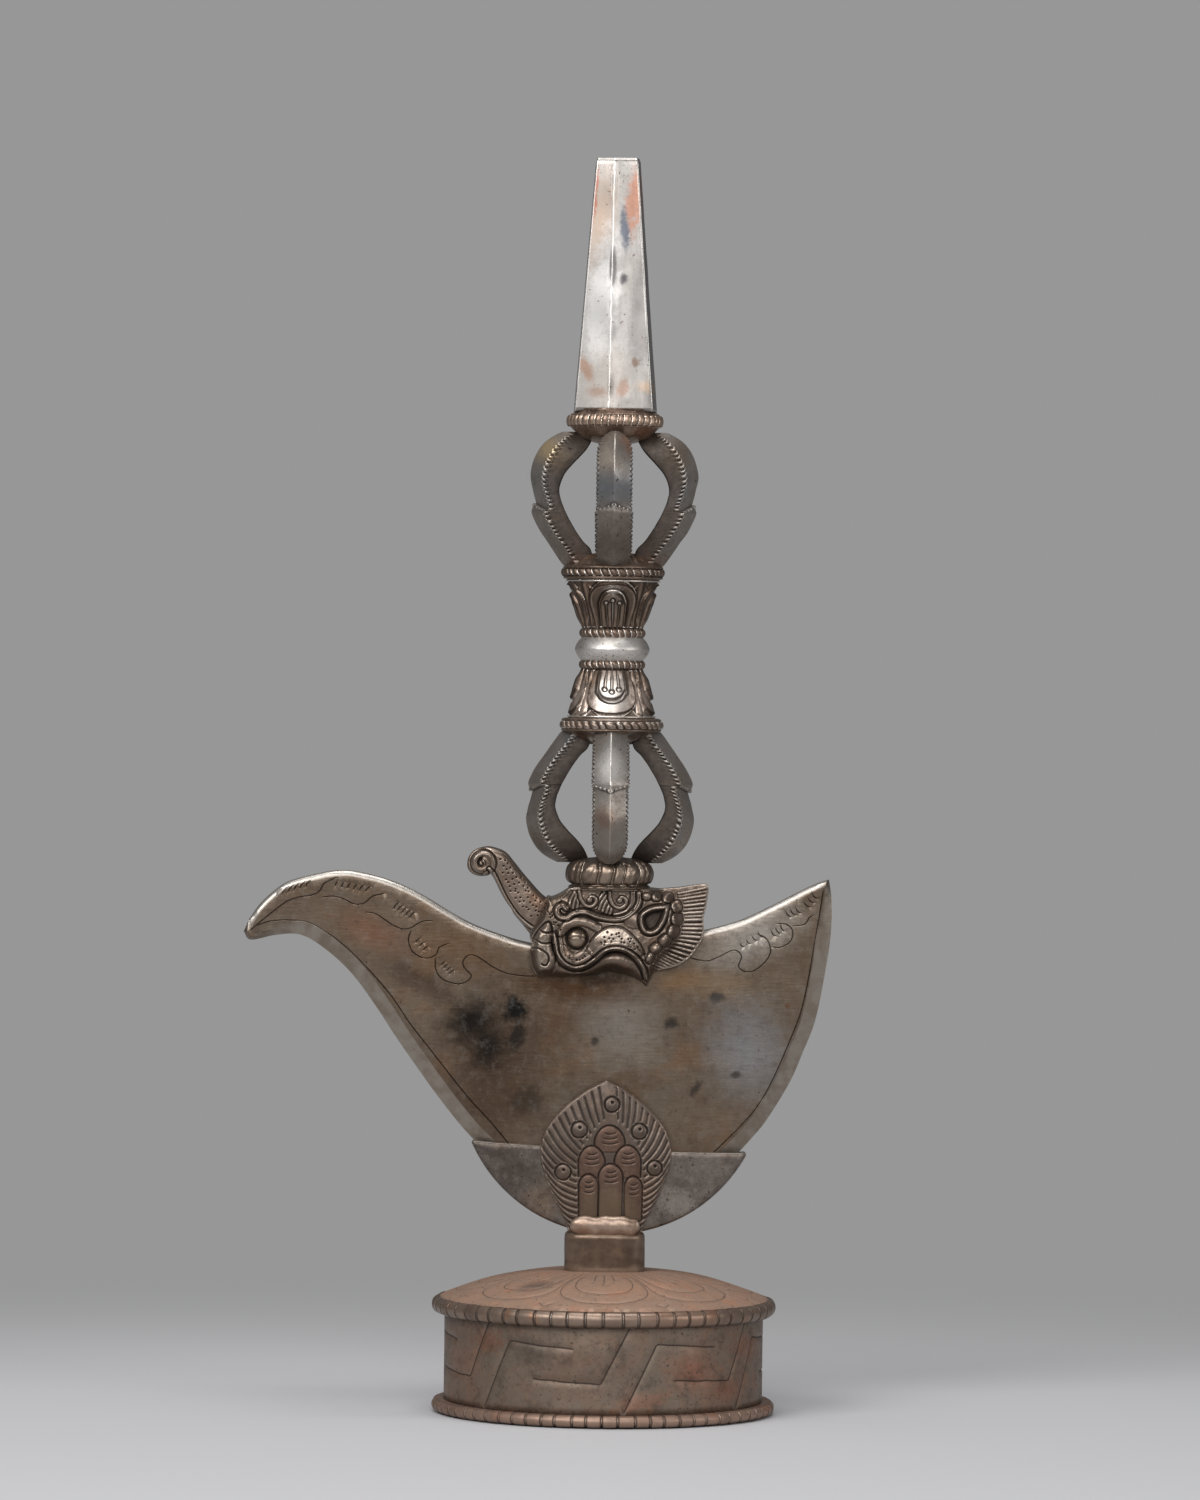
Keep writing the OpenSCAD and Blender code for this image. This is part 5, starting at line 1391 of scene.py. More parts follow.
def prong(node, tall, foot, up, number, seed):
    """A prong of a cage. Its section, a sharp ridge between two facets, a row of beads on each
    shoulder, flat sides and a flat inner face, is carried from the hub to the far end. A sleeve
    covers its lower part; the rings of the grid lean forward there into the sleeve's chevron."""
    line = curve(STATIONS, STATION_STEPS)
    stops = np.arange(len(line)) / STATION_STEPS
    last = len(STATIONS) - 1
    sleeve_end, lip, lead, roof, half = 6.45, 1.6, 0.7, 5.0, 6.9
    t = np.concatenate([np.linspace(0, sleeve_end - 0.02, 160), [sleeve_end + 0.02],
                        np.linspace(sleeve_end + 0.08, last, 190)])
    across, toward, drop, bead = prong_section()
    is_facet = drop < 0
    fall = np.where(is_facet, np.clip(np.abs(across) / 0.965, 0, 1) ** 1.08 * roof, roof + drop)
    near = np.exp(-((t - sleeve_end) / 1.6) ** 2)
    lean = (1 - np.minimum(np.abs(across), 1))[None] * lead * near[:, None]
    at = np.clip(t[:, None] + lean, 0, last)
    column = [np.interp(at, stops, line[:, k]) for k in range(4)]
    edge = [np.interp(t, stops, line[:, k])[:, None] for k in range(4)]
    way_r, way_z = column[0] - column[2], column[1] - column[3]
    size = np.hypot(way_r, way_z)
    way_r, way_z = way_r / size, way_z / size
    paces = np.hypot(np.diff(edge[0][:, 0]), np.diff(edge[1][:, 0]))
    along = np.concatenate([[0], np.cumsum(paces)])
    pitch = 2.0
    wobble = 0.22 * uneven(along, 0 * along, 7, seed)
    frac = (along / pitch + wobble) % 1
    lobe = round_over(2 * frac - 1, 0.7)[:, None]
    covered = (t <= sleeve_end)[:, None]
    proud = np.where(covered, 0.4 + (lip - 0.4) * (t / sleeve_end)[:, None] ** 1.2, 0.0)
    rim = np.where(covered, bell((sleeve_end - t)[:, None] * 4.6 - 0.7, 0.95), 0) * is_facet[None]
    rim_lobe = round_over(2 * ((np.abs(across) * half / 1.6) % 1) - 1, 0.8)[None]
    ends = rise(t, 0.5, 1.4)[:, None] * (1 - rise(t, 13.6, 14.4)[:, None])
    ogive = np.clip((t - 10.8) / 4.2, 0, 1)
    narrow = (1 - 0.95 * ogive ** 2.2)[:, None]
    out = -fall[None] * (0.35 + 0.65 * narrow) + proud + rim * (0.9 * rim_lobe - 0.35)
    wide = (half + 0.3 * proud) * narrow
    side = across[None] * wide + np.sign(across)[None] * bead[None] * (lobe - 0.4) * ends
    lift = bead[None] * (lobe - 0.4) * 0.5 * ends
    top_r = column[0] + way_r * (out + lift)
    top_z = column[1] + way_z * (out + lift)
    radius = top_r + (edge[2] - top_r) * toward[None]
    height = top_z + (edge[3] - top_z) * toward[None]
    hammer = 0.07 * uneven(along[:, None] + 0 * side, side * 1.3, 9, seed + 1)
    radius = radius + way_r * hammer
    scale_z = tall / DRAWN_HEIGHT
    z = foot + up * (np.clip(height, 0, DRAWN_HEIGHT) * scale_z)
    x, y = rotated(radius, side, math.radians(90 * number))
    shape = tube(np.stack([x, y, z], -1))
    # Painted highlight along the ridge: on the upper cage's arches and the lower cage's sleeves.
    if up > 0:
        shine = 0.1 + 0.8 * bell(t - 11.6, 3.4)
    else:
        shine = 0.85 - 0.5 * rise(t, sleeve_end, sleeve_end + 0.3)
    ridge = -shine[:, None] * np.exp(-(across[None] / 0.07) ** 2) * is_facet[None]
    mark = ridge + (bead[None] > 0.5) * np.where(lobe > 0.5, -0.3, 1.1) * ends \
        + rim * np.where(rim_lobe > 0.5, -0.35, 1.0)
    after = (t > sleeve_end)[:, None] * is_facet[None]
    mark = mark + after * 0.9 * np.exp(-(t - sleeve_end)[:, None] / 0.22)
    mark = mark + (toward[None] > 0.5) * 0.28
    outer = np.tile(np.where(drop < 2, 1.0, 0.0), len(t))
    dress(node, shape, hollow=np.append(mark, [0.5, 0.5]), outer=np.append(outer, [0, 0]))


bead_ring("lower_bead_ring")
bead_ring("upper_bead_ring")
hub_ring("lower_hub_ring", -1, 51)
hub_ring("upper_hub_ring", 1, 52)
lotus("lower_lotus", up=-1, spread=5.2, arch_top=18.4, core_top=12.6, core_half=5.5, band_up=0.7,
      wire=0.0, gutter=1.1, gloom=0.0, seed=61)
lotus("upper_lotus", up=1, spread=6.4, arch_top=18.7, core_top=14.6, core_half=5.2, band_up=0.0,
      wire=0.75, gutter=0.8, gloom=0.45, seed=62)
knob()
neck_collar()
tip_collar()
spike()
(_, _, low_foot), (_, _, low_top) = span("lower_prong_1")
(_, _, high_foot), (_, _, high_top) = span("upper_prong_1")
for number in range(4):
    prong(f"lower_prong_{number + 1}", low_top - low_foot, low_top, -1, number, 70 + number)
    prong(f"upper_prong_{number + 1}", high_top - high_foot, high_foot, 1, number, 80 + number)


# Blade and head

# Chased lines of the blade: clouds, and the upper edge of the bevel
BLADE_LINES = [
    [(-148.1, 195.2), (-142, 200.6), (-133, 207.7), (-127.7, 209.8), (-122.4, 210.7),
     (-119.1, 212.4), (-117.1, 215.7), (-111.8, 218.2)],
    [(-118.3, 209.9), (-113.3, 210.4), (-108.8, 209.2), (-104.7, 207.2), (-100.6, 207.7),
     (-97.3, 210.6), (-91.6, 211.9)],
    [(-100.9, 204), (-95.6, 203.2), (-89.3, 199.2), (-84.8, 197.2), (-81.5, 197.7), (-79.5, 198.9),
     (-76.2, 200.6), (-71.7, 200.7)],
    [(-81.1, 197.2), (-82.3, 193.1), (-81, 188.6), (-77.2, 185.8), (-73.9, 185.4), (-70.7, 187.1),
     (-69.5, 190), (-65, 191.7)],
    [(-71.1, 185.9), (-71, 180.9), (-68.5, 177.2), (-63.9, 175.3), (-59.4, 175.3), (-56.2, 178.2),
     (-58.7, 181.1), (-59.9, 183.5), (-58.7, 186), (-56.3, 186.9), (-52.6, 185.7), (-47.2, 182),
     (-41.8, 179.6), (-34.4, 178.5), (-29, 178.6)],
    [(33, 187.2), (40, 185.6), (45, 187.2), (51.5, 190.3), (54.8, 187.9), (53.6, 183.3),
     (58.2, 181.3), (63.5, 184.5), (66.7, 189.7), (65, 195), (60.4, 197.4)],
    [(66.7, 192.1), (70.5, 191.6), (74.9, 194.3), (75.6, 198.8), (72.7, 201.3), (68.2, 201.2)],
    [(75.2, 200.5), (80.4, 201.2), (82.6, 204.2), (85, 205.1)]]
BEVEL_LINES = [
    [(-146.5, 197.2), (-139.1, 199.8), (-131.3, 200.3), (-123.9, 199.6), (-116.9, 196),
     (-109.8, 191.1), (-102.3, 184.2), (-95.2, 176.9), (-88.1, 168.4), (-81.4, 158.6),
     (-73.5, 148.8), (-65.1, 138.2), (-56.3, 127.6), (-47.2, 117.9), (-41.7, 111.4), (-32, 100.2)],
    [(88.2, 216.3), (85.9, 200.6), (82.8, 181.2), (79.7, 166), (75.4, 154), (67.4, 135.4),
     (59.7, 122.9), (45.5, 107.9), (36, 98.6)]]
# Hatching: both ends of the first stroke, both ends of the last one, and how many strokes
HATCHES = [
    ((-111.3, 216.9), (-112.6, 214.2), (-97.4, 214.9), (-100.5, 211.7), 6),
    ((-85.8, 208.2), (-88.8, 204.9), (-79, 204.4), (-82.1, 201.3), 5),
    ((-134, 213.5), (-137, 209.5), (-122, 217.2), (-125, 213.5), 6),
    ((-77, 193.6), (-79.5, 191.3), (-73.6, 190.2), (-76.4, 188.2), 3),
    ((-66.5, 184.2), (-69, 182), (-62.8, 180.6), (-65.6, 178.6), 4),
    ((53.8, 193.6), (56.4, 191.5), (61.2, 198.3), (64.2, 195.4), 4),
    ((66.4, 199.4), (69.6, 195.9), (70.4, 201.8), (73, 197.9), 3),
    ((72.2, 207.4), (75.8, 203.9), (76.4, 208.6), (79.6, 205.6), 3),
    ((79.6, 210.9), (83.6, 208.4), (83.2, 214.6), (86.4, 211.6), 3)]


def blade():
    """The crescent: a flat plate, ground to its cutting edge over a wide bevel and rounded
    over along its spine, with chased cloud lines on both faces."""
    low, high = span("blade")
    bottom, thick = low[2], high[1]
    cut, back = (6.0, 0.4, 0), (2.6, 0.3, 1)

    def edge(points, reach, kind):
        """Points as shares of reach, with height, width of the bevel, half thickness, kind."""
        return [(p[0] * reach, bottom + p[1], p[2] if len(p) > 2 else kind[0], kind[1], kind[2])
                for p in points]
    hook = [(1, 115.2, .5), (.98, 111.8, 1.2), (.912, 113.9, 3.24), (.846, 114.2), (.783, 109.2),
            (.708, 99.4), (.641, 86.4), (.583, 73.4), (.521, 60.3), (.457, 47.3), (.385, 34.2),
            (.306, 22.8)]
    arc = [(2.2 + 55.7 * math.sin(math.radians(q)),
            bottom + 55.7 * (1 - math.cos(math.radians(q))), *cut) for q in range(-36, 37, 9)]
    horn = [(.552, 22.8), (.66, 33.3), (.724, 40.8), (.821, 55.7), (.882, 68.9), (.935, 82.1),
            (.976, 101.9), (.998, 116.8), (1, 130.8, 3.24), (.987, 139.6, .5)]
    horn_back = [(.949, 138.6, 1.2), (.877, 135.6), (.735, 128.8), (.592, 122.5), (.449, 118.6),
                 (.38, 117.4)]
    root = [(37.4, 200), (-29.4, 200), (-31.2, 195.6)]
    hook_back = [(.2, 111.6), (.274, 114.3), (.387, 120.6), (.519, 131.9), (.607, 137.5),
                 (.695, 140.6), (.739, 140.9), (.783, 140), (.87, 136.6), (.913, 132.8),
                 (.957, 126.5), (.986, 120.2, 1.0)]
    outline = np.vstack([
        curve(edge(hook, -150.2, cut) + arc + edge(horn, 91.6, cut), 7),
        curve(edge(horn_back, 91.6, back), 8),
        [(x, z, 0.5, 2.3, 1) for x, z in root],
        curve(edge(hook_back, -150.2, back), 8)])
    rails = []
    for inset in (0.25, 0.7, 1.4, 2.6, 5.5, 6.0):
        line = beside(ring_of(outline), inset)
        away = from_line(*line.T, ring_of(outline))
        good = (away > inset * 0.96) & inside(*line.T, outline)
        cuts = np.flatnonzero(np.diff(good.astype(int))) + 1
        for part in np.split(np.arange(len(line)), cuts):
            if good[part[0]] and len(part) > 3:
                rails.append(paced(line[part], 1.2))
    lines = [curve(line, 5) for line in BLADE_LINES + BEVEL_LINES]
    for a, b, c, d, count in HATCHES:
        a, b, c, d = (np.array(p) for p in (a, b, c, d))
        for t in np.linspace(0, 1, count):
            p, q = a + (c - a) * t, b + (d - b) * t
            middle = (p + q) / 2 + np.array([q[1] - p[1], p[0] - q[0]]) * 0.16
            lines.append(curve([p, middle, q], 3))
    flat, triangles, sunk, mark = engraved(outline, 2.2, lines, 0.36, 0.3, 1.6, 0.05, 90, rails)
    away, found = to_line(*flat.T, ring_of(outline))
    _, reach, thin, is_back = found
    share = np.clip(away / reach, 0, 1)
    rest = np.where(is_back > 0.5, 1 - round_over(1 - share, 1), 1 - share) * (thick - thin)
    wave = 0.10 * uneven(*flat.T, 30, 33) * rise(away, 2, 12)
    half = thick - rest - sunk + wave
    # The rounded spine is polished, and painted lighter as a highlight.
    polish = (is_back > 0.5) * (1 - rise(away, 1.5, 2.8))
    bevel = (is_back < 0.5) * (1 - rise(away, reach - 0.5, reach + 0.1))
    dress("blade", solid(flat, triangles, half, half), hollow=np.tile(mark, 2),
          bevel=np.tile(bevel, 2), polish=np.tile(polish, 2), crease=27)


# Drawing of the head: its outline with the depth of its edge, and the lines of its face
HEAD_OUTLINE = [
    (-26, 211, 6.2), (-23.5, 211.4, 7), (-20.1, 212.8, 9), (-15.5, 215.3, 11.5), (-8, 215.3, 12),
    (3, 215.3, 12), (14, 215.3, 12), (17.6, 215.4, 11.5), (21, 215.2, 7), (25, 215.5, 5.2),
    (29.2, 215.9, 4.8), (34.1, 216.7, 4.2), (39.6, 217.3, 4), (40.9, 215.6, 4), (40.4, 211, 4),
    (39.6, 206.5, 4), (38.9, 203.1, 4), (39.3, 198.9, 4), (38.9, 196, 4), (37.2, 192.6, 4),
    (33.1, 187, 4), (27.6, 183.5, 4), (20.6, 181.7, 4), (18.7, 180.7, 4), (15.9, 175.4, 3.9),
    (13.7, 177, 4), (9.6, 179.1, 4.2), (5.4, 180.1, 4.5), (-0.2, 180.7, 4.5), (-5.8, 179.7, 4.5),
    (-14.1, 178.9, 4.5), (-21, 178.8, 5.5), (-28.7, 178.9, 6.5), (-30.8, 181.3, 7.5),
    (-32.1, 185.5, 8), (-32.3, 189, 8), (-31.6, 192.5, 8), (-32.4, 195.9, 7.5), (-29.8, 202, 6.2)]
BROW = [
    (-17.4, 206.9), (-19.2, 208.2), (-21, 207.3), (-21.3, 205.2), (-19.8, 203.4), (-17.2, 203.2),
    (-14.4, 205), (-9.6, 205.6), (-4, 203.6), (3, 202.8), (7.8, 204.1), (11.3, 207.6), (12.6, 211),
    (12.3, 213.6)]
LIP = [
    (-22.6, 196), (-21.9, 192.6), (-21.2, 188.4), (-18.3, 184.3), (-14.1, 182.3), (-10, 183),
    (-5.8, 185.8), (-1.7, 189.4), (2.5, 190.7), (7.3, 189.8), (11.5, 186.8), (14.4, 182.6),
    (15.6, 178.4)]
CHEEK = [(-9.5, 189.5), (-7.6, 193.2), (-4, 197.4), (1.2, 199.8), (6.4, 198.8), (11.2, 194.6),
         (14.6, 189.4), (16.4, 184.2)]
LID = [(-19.4, 197.2), (-17.0, 200.2), (-12.6, 201.6), (-8.2, 201.0), (-4.6, 199.2)]
UNDER_EYE = [(-19.6, 193.4), (-18.6, 189.2), (-15.6, 186.4), (-12.2, 186.0), (-9.2, 188.4)]
EAR = [(12.9, 205.2), (17, 208), (22.2, 208.8), (24.8, 208.9), (24.2, 205.6), (22.8, 201.6),
       (20.4, 198), (17.2, 196.6), (14.2, 197.6), (12.5, 201.2)]
TUSK = [(-24.6, 201), (-28.8, 197.4), (-31.2, 192.6), (-31.6, 187.4), (-30.4, 182.4),
        (-28.2, 179.8), (-24.4, 179.8), (-22.4, 182.4), (-21.9, 187), (-23.4, 191), (-23.4, 196)]
CURLS = [
    [(-12.2, 213.8), (-11.6, 211), (-9.6, 208.4), (-7, 207.9), (-5.4, 209.6), (-5.8, 211.6),
     (-7.4, 211.9), (-8, 210.6)],
    [(0.2, 213.9), (0.4, 211.2), (2, 208.4), (4.6, 207.4), (6.8, 208.8), (6.8, 211),
     (5.2, 211.9), (4.3, 210.6)]]
# Sheaves of locks: the first lock, the last one, and how many
SHEAVES = [
    ([(-16.4, 207.6), (-15.8, 210.6), (-14.2, 213.6)], [(-13.2, 206.4), (-12.8, 209),
     (-12.4, 211.6)], 3),
    ([(-5.6, 207.4), (-4.4, 210.4), (-2, 213.8)], [(0.4, 204.9), (1, 206.6), (1.4, 208.2)], 5),
    ([(7.2, 206.2), (9.2, 209.4), (9.4, 213.8)], [(10.2, 207.4), (11.4, 210.2), (11.5, 213.8)], 3),
    ([(2.4, 204.6), (4.6, 205.2), (7.2, 206.2)], [(3.2, 203.8), (6.2, 204.4), (8.8, 206.2)], 2)]
TUSK_BANDS = [
    [(-29, 198.6), (-26.4, 197), (-22.8, 197.2)],
    [(-30.9, 194.6), (-27, 192.6), (-22.9, 192.9)],
    [(-31.9, 190.6), (-28.4, 190.4), (-25.2, 188.4), (-24.4, 185.8), (-25.6, 183.6),
     (-27.6, 184.2)]]
# Knolls behind the ear: x, z, half length, half width, turn and height
KNOLLS = [
    (15.4, 212.3, 2, 1.7, 0, 1.9), (19.4, 212.1, 2.1, 1.8, 0, 2.1),
    (24.2, 211.9, 2.4, 2.3, 0, 2.6), (27.8, 208.2, 2.7, 2.3, -70, 2.7),
    (28, 203, 2.7, 2.4, -88, 2.8), (26.6, 197.9, 2.8, 2.5, 68, 2.8),
    (23.2, 194.2, 2.8, 2.5, 40, 2.6), (19.4, 191, 2.6, 2.2, 42, 2.3),
    (17.2, 187, 2.4, 1.7, 66, 1.8)]
# Fields of punched dots: outline, pace, radius and seed
DOTTED = [
    ([(-4, 193.6), (-1.5, 197.2), (1.5, 198.4), (6, 197.4), (10.4, 194.2), (14, 189.4),
     (15.2, 185), (13.4, 186.4), (8.6, 191.6), (2.6, 193), (-1.4, 191.8)], 1.95, 0.42, 3),
    ([(-18, 189.4), (-14.6, 187.4), (-9.4, 187.8), (-6.9, 189.8), (-9.4, 186), (-14.2, 184.8),
     (-18, 186.8)], 1.75, 0.32, 5),
    ([(-25.6, 209.6), (-22.2, 206), (-21.9, 202), (-19.6, 199), (-19.4, 195.6), (-20.8, 195),
     (-22.6, 199), (-25, 203.2), (-28.2, 205)], 1.75, 0.36, 6)]
FIN_ROOTS = [
    (27.9, 213.6), (29.2, 210), (30.1, 205.6), (30, 201.4), (28.4, 196.8), (25, 193),
    (21.4, 189.4), (18.6, 186.8), (17.2, 183.2)]
FIN_ENDS = [
    (40.4, 216.4), (39.8, 211.6), (39, 206.4), (38.5, 201.6), (38.4, 196.4), (35.4, 190.6),
    (30.6, 185.6), (25.6, 183.2), (20, 181.6)]
EYE = (-13.0, 194.6)


def pits(x, z, area, pace, radius, seed, spread=0.34):
    """Punched dots on a jittered grid inside an area: 1 on the flat floor of each, 0 outside."""
    chance = np.random.default_rng(seed)
    area = np.asarray(area, float)
    low, high = area.min(0), area.max(0)
    gx, gz = np.meshgrid(np.arange(low[0], high[0], pace),
                         np.arange(low[1], high[1], pace * 0.87))
    gx = gx + (np.arange(gx.shape[0]) % 2)[:, None] * pace / 2
    gx, gz = (g.ravel() + chance.uniform(-spread, spread, g.size) * pace for g in (gx, gz))
    some = inside(gx, gz, area)
    total = np.zeros(x.shape)
    for px, pz in zip(gx[some], gz[some]):
        near = np.flatnonzero((np.abs(x - px) < radius * 2) & (np.abs(z - pz) < radius * 2))
        away = np.hypot(x[near] - px, z[near] - pz)
        total[near] = np.maximum(total[near], 1 - rise(away, radius * 0.55, radius * 1.3))
    return total


def cord(x, z, line, half, tall, groove):
    """A half-round cord laid along a line, with a narrow groove on both its sides."""
    some, away, _ = culled(x, z, line, half * 2.2)
    out = np.zeros(x.shape)
    out[some] = tall * round_over(away, half) - groove * bell(away - half * 1.2, half * 0.55)
    return out


def knolls(x, z, places):
    """Half ellipsoids (x, z, half length, half width, turn in degrees, height), each with a
    groove round its foot: the highest one at each point, and where there is one."""
    out, there = np.zeros(x.shape), np.zeros(x.shape, bool)
    for px, pz, long, wide, turn, tall in places:
        q = math.radians(turn)
        u = ((x - px) * math.cos(q) + (z - pz) * math.sin(q)) / long
        v = ((z - pz) * math.cos(q) - (x - px) * math.sin(q)) / wide
        r = (np.abs(u) ** 2.4 + np.abs(v) ** 2.4) ** (1 / 2.4)
        form = tall * round_over(r, 1) - 0.35 * bell((r - 1.1) * wide, 0.5)
        here = r < 1.25
        out = np.where(here, np.maximum(form, np.where(there, out, -9)), out)
        there |= here
    return out, there


def hair(x, z, forehead):
    """Sheaves of half-round locks on the sunk forehead, and two curls that end in a ball."""
    locks = np.zeros(x.shape)
    for first, last, count in SHEAVES:
        for t in np.linspace(0, 1, count):
            lock = np.array(first) * (1 - t) + np.array(last) * t
            locks = np.maximum(locks, cord(x, z, curve(lock, 5), 0.8, 1.1, 0))
    out = np.where(forehead, -0.7 + locks, 0.0)
    for curl in CURLS:
        near = from_line(x, z, curve(curl, 6))
        ball = np.hypot(x - curl[-1][0], z - curl[-1][1])
        form = np.maximum(round_over(near, 0.85), 1.3 * round_over(ball, 1.3)) - 0.6
        out = np.where((near < 1.35) | (ball < 1.7), form, out)
    return out


def around_eye(x, z):
    """Brow and eyelid as cords over the hair, and the socket sunk 2.6 mm for the eyeball; also
    how far each point is from the eye."""
    brow, lid = curve(BROW, 6), curve(LID, 6)
    forehead = inside(x, z, np.vstack([brow, [(12.3, 214.4), (-16, 214.4), (-21, 209)]]))
    out = hair(x, z, forehead) + cord(x, z, brow, 1.15, 1.9, 0.5)
    out += round_over(np.hypot(x + 18.9, z - 206.1), 1.8)
    out += 1.9 * round_over(from_line(x, z, lid), 2.0) * ~forehead
    eye = np.hypot(x - EYE[0], z - EYE[1])
    out -= 1.3 * bell(eye, 8.0)
    return np.where(eye < 4.85, -2.6, out - 0.3 * bell(eye - 5.2, 0.7)), eye


def with_beak(x, z, out, away, eye):
    """The cheek as a swelling, folds round the eye and the lip, and the beak below the lip,
    which swells as the sine of the way from the lip to the head's edge; also where it is calm."""
    lip, cheek, under = (curve(line, 6) for line in (LIP, CHEEK, UNDER_EYE))
    in_cheek = inside(x, z, np.vstack([cheek, lip[::-1][:52]]))
    swell = np.clip(1 - ((x - 3.2) / 13.5) ** 2 - ((z - 193.4) / 8.6) ** 2, 0, 1)
    out = np.where(in_cheek, -0.3 + 3.1 * swell ** 0.6, out)
    out -= 0.6 * bell(from_line(x, z, cheek), 0.7) * (eye > 4.75)
    out += 0.8 * round_over(from_line(x, z, under) - 0.8, 2.0) * (eye > 5.3) * (z < 192)
    out += 0.7 * round_over(from_line(x, z, beside(lip, 2.35)), 0.95) * (eye > 4.8)
    beak = inside(x, z, np.vstack([lip[6:], [(15.9, 175.4), (9.6, 177), (-0.2, 177),
                                             (-26, 177), (-26, 190)]]))
    to_lip = from_line(x, z, lip)
    across = np.clip((to_lip - 1.1) / (to_lip + np.maximum(away, 0.3) * 1.15), 0, 1)
    out = np.where(beak, -1.2 + 2.7 * np.sin(np.pi * across) ** 0.75, out)
    return out + cord(x, z, lip, 1.1, 1.8, 0.4), beak & (to_lip > 1.5) & (x < 15.6)


def with_tusk(x, z, out):
    """The tusk: a rounded body with bands cut across it, and a groove round its foot; also
    where it is."""
    tusk = curve(TUSK, 5, closed=True)
    in_tusk = inside(x, z, tusk)
    to_tusk = from_line(x, z, ring_of(tusk))
    bands = [curve(line, 5) for line in TUSK_BANDS]
    tooth = 0.5 + 1.7 * (1 - (1 - np.clip(to_tusk / 3.0, 0, 1)) ** 2)
    tooth = tooth - strokes(x, z, bands, 0.6, 1.0, 0.5)
    return np.where(in_tusk, tooth, out - 1.0 * bell(to_tusk - 0.35, 0.8) * (x > -33)), in_tusk


def with_ear(x, z, out, crest):
    """The ear: a rolled rim round a hollow, in front of it a low temple, and knolls and fins that
    fan out behind. The fins are half-round cords, every other one lower. Also the painted
    shade on the ear's floor, which fades out to the right."""
    ear = curve(EAR, 6, closed=True)
    in_ear, to_ear = inside(x, z, ear), from_line(x, z, ring_of(ear))
    shell = 0.8 + 2.0 * round_over(1 - np.clip(to_ear, 0, 1), 1) - 3.2 * rise(to_ear, 0.8, 3.2)
    temple = 1.5 * np.clip(1 - ((x - 10.4) / 4.4) ** 2 - ((z - 202.4) / 3.6) ** 2, 0, 1) ** 0.6
    beside_ear = np.where((temple > 0.05) & (z < 206), np.maximum(out, temple), out)
    out = np.where(in_ear, shell + 1.6 * crest, beside_ear - 0.8 * bell(to_ear - 0.3, 0.9))
    form, there = knolls(x, z, KNOLLS)
    out = np.where(there & ~in_ear, form + 0.9 * crest, out)
    roots, ends = curve(FIN_ROOTS, 12), curve(FIN_ENDS, 12)
    ridges = np.zeros(x.shape)
    for k, share in enumerate(np.linspace(0.015, 0.99, 24)):
        fin = [roots[int(share * (len(roots) - 1))], ends[int(share * (len(ends) - 1))]]
        ridges = np.maximum(ridges, cord(x, z, fin, 0.76, 1.25 - 0.3 * (k % 2), 0))
    in_fins = inside(x, z, np.vstack([roots, ends[::-1]]))
    out = np.where(in_fins & ~there, ridges - 0.5, out)
    # Painted shade on the ear's floor, fading out to the right.
    floor = 0.5 * in_ear * rise(to_ear, 1.1, 2.2) * rise(24.6 - x, 0, 4)
    return out, floor


def carved(x, z, away, rim):
    """Depth of the makara's face over the middle of the blade, where its dots and the painted
    shade on its ear's floor are, and where its beak is calm. A rounded body thins to the crest,
    and brow, eye, beak, tusk, ear and fins lie on it; they fade out over the last 1.2 mm to
    the edge."""
    inward = np.clip(away / (8.0 - 3.5 * rise(-x, 20, 25)), 0, 1)
    body = rim + (11.9 - rim) * (1 - (1 - inward) ** 2.3)
    fan = np.hypot(x - 12.4, z - 201.0)
    crest = rise(fan, 12.0, 18.0) * rise(x + 0.25 * (z - 200), 13, 18)
    depth = body * (1 - crest) + 5.0 * crest
    out, eye = around_eye(x, z)
    out, calm = with_beak(x, z, out, away, eye)
    out, in_tusk = with_tusk(x, z, out)
    out, floor = with_ear(x, z, out, crest)
    dots = floor
    for area, pace, radius, seed in DOTTED:
        dots = np.maximum(dots, pits(x, z, area, pace, radius, seed))
    out += 0.09 * uneven(x, z, 5, 8) + 0.04 * uneven(x, z, 2.2, 9)
    upper_edge = 1 - 0.4 * rise(z, 213.8, 215.4) * (x < 17)
    out = out * rise(away, 0.0, 1.2) * upper_edge
    return np.maximum(depth + out, 3.0), dots, calm & ~in_tusk


def head():
    """The two halves of the makara's head, flat where they meet. Recesses are dark, the beak
    stays calm, and the punched dots are sunk by 0.6 mm."""
    outline = paced(ring_of(curve(HEAD_OUTLINE, 4, closed=True)), 0.5)[:-1]
    flat, triangles = filled(outline, 0.25)
    x, z = flat.T
    away, found = to_line(x, z, ring_of(outline))
    depth, dots, calm = carved(x, z, away, found[1])
    flush = np.zeros(len(x))
    mark = np.clip(hollows(*solid(flat, triangles, depth, flush), 6, 0.24), -0.55, 1.1)
    mark[:len(x)] = np.where(calm, np.clip(mark[:len(x)], -0.1, 0.45), mark[:len(x)])
    # The punched dots, and the ear floor carried with them, darken as grime and painted shade; a
    # ring round the eye socket is painted shade in the gap round the eyeball.
    mark[:len(x)] += 1.5 * dots + 1.2 * bell(np.hypot(x - EYE[0], z - EYE[1]) - 4.4, 1.0)
    shape = solid(flat, triangles, depth - 0.6 * dots * (x < 12.4), flush)
    dress_pair("head", shape, hollow=mark)


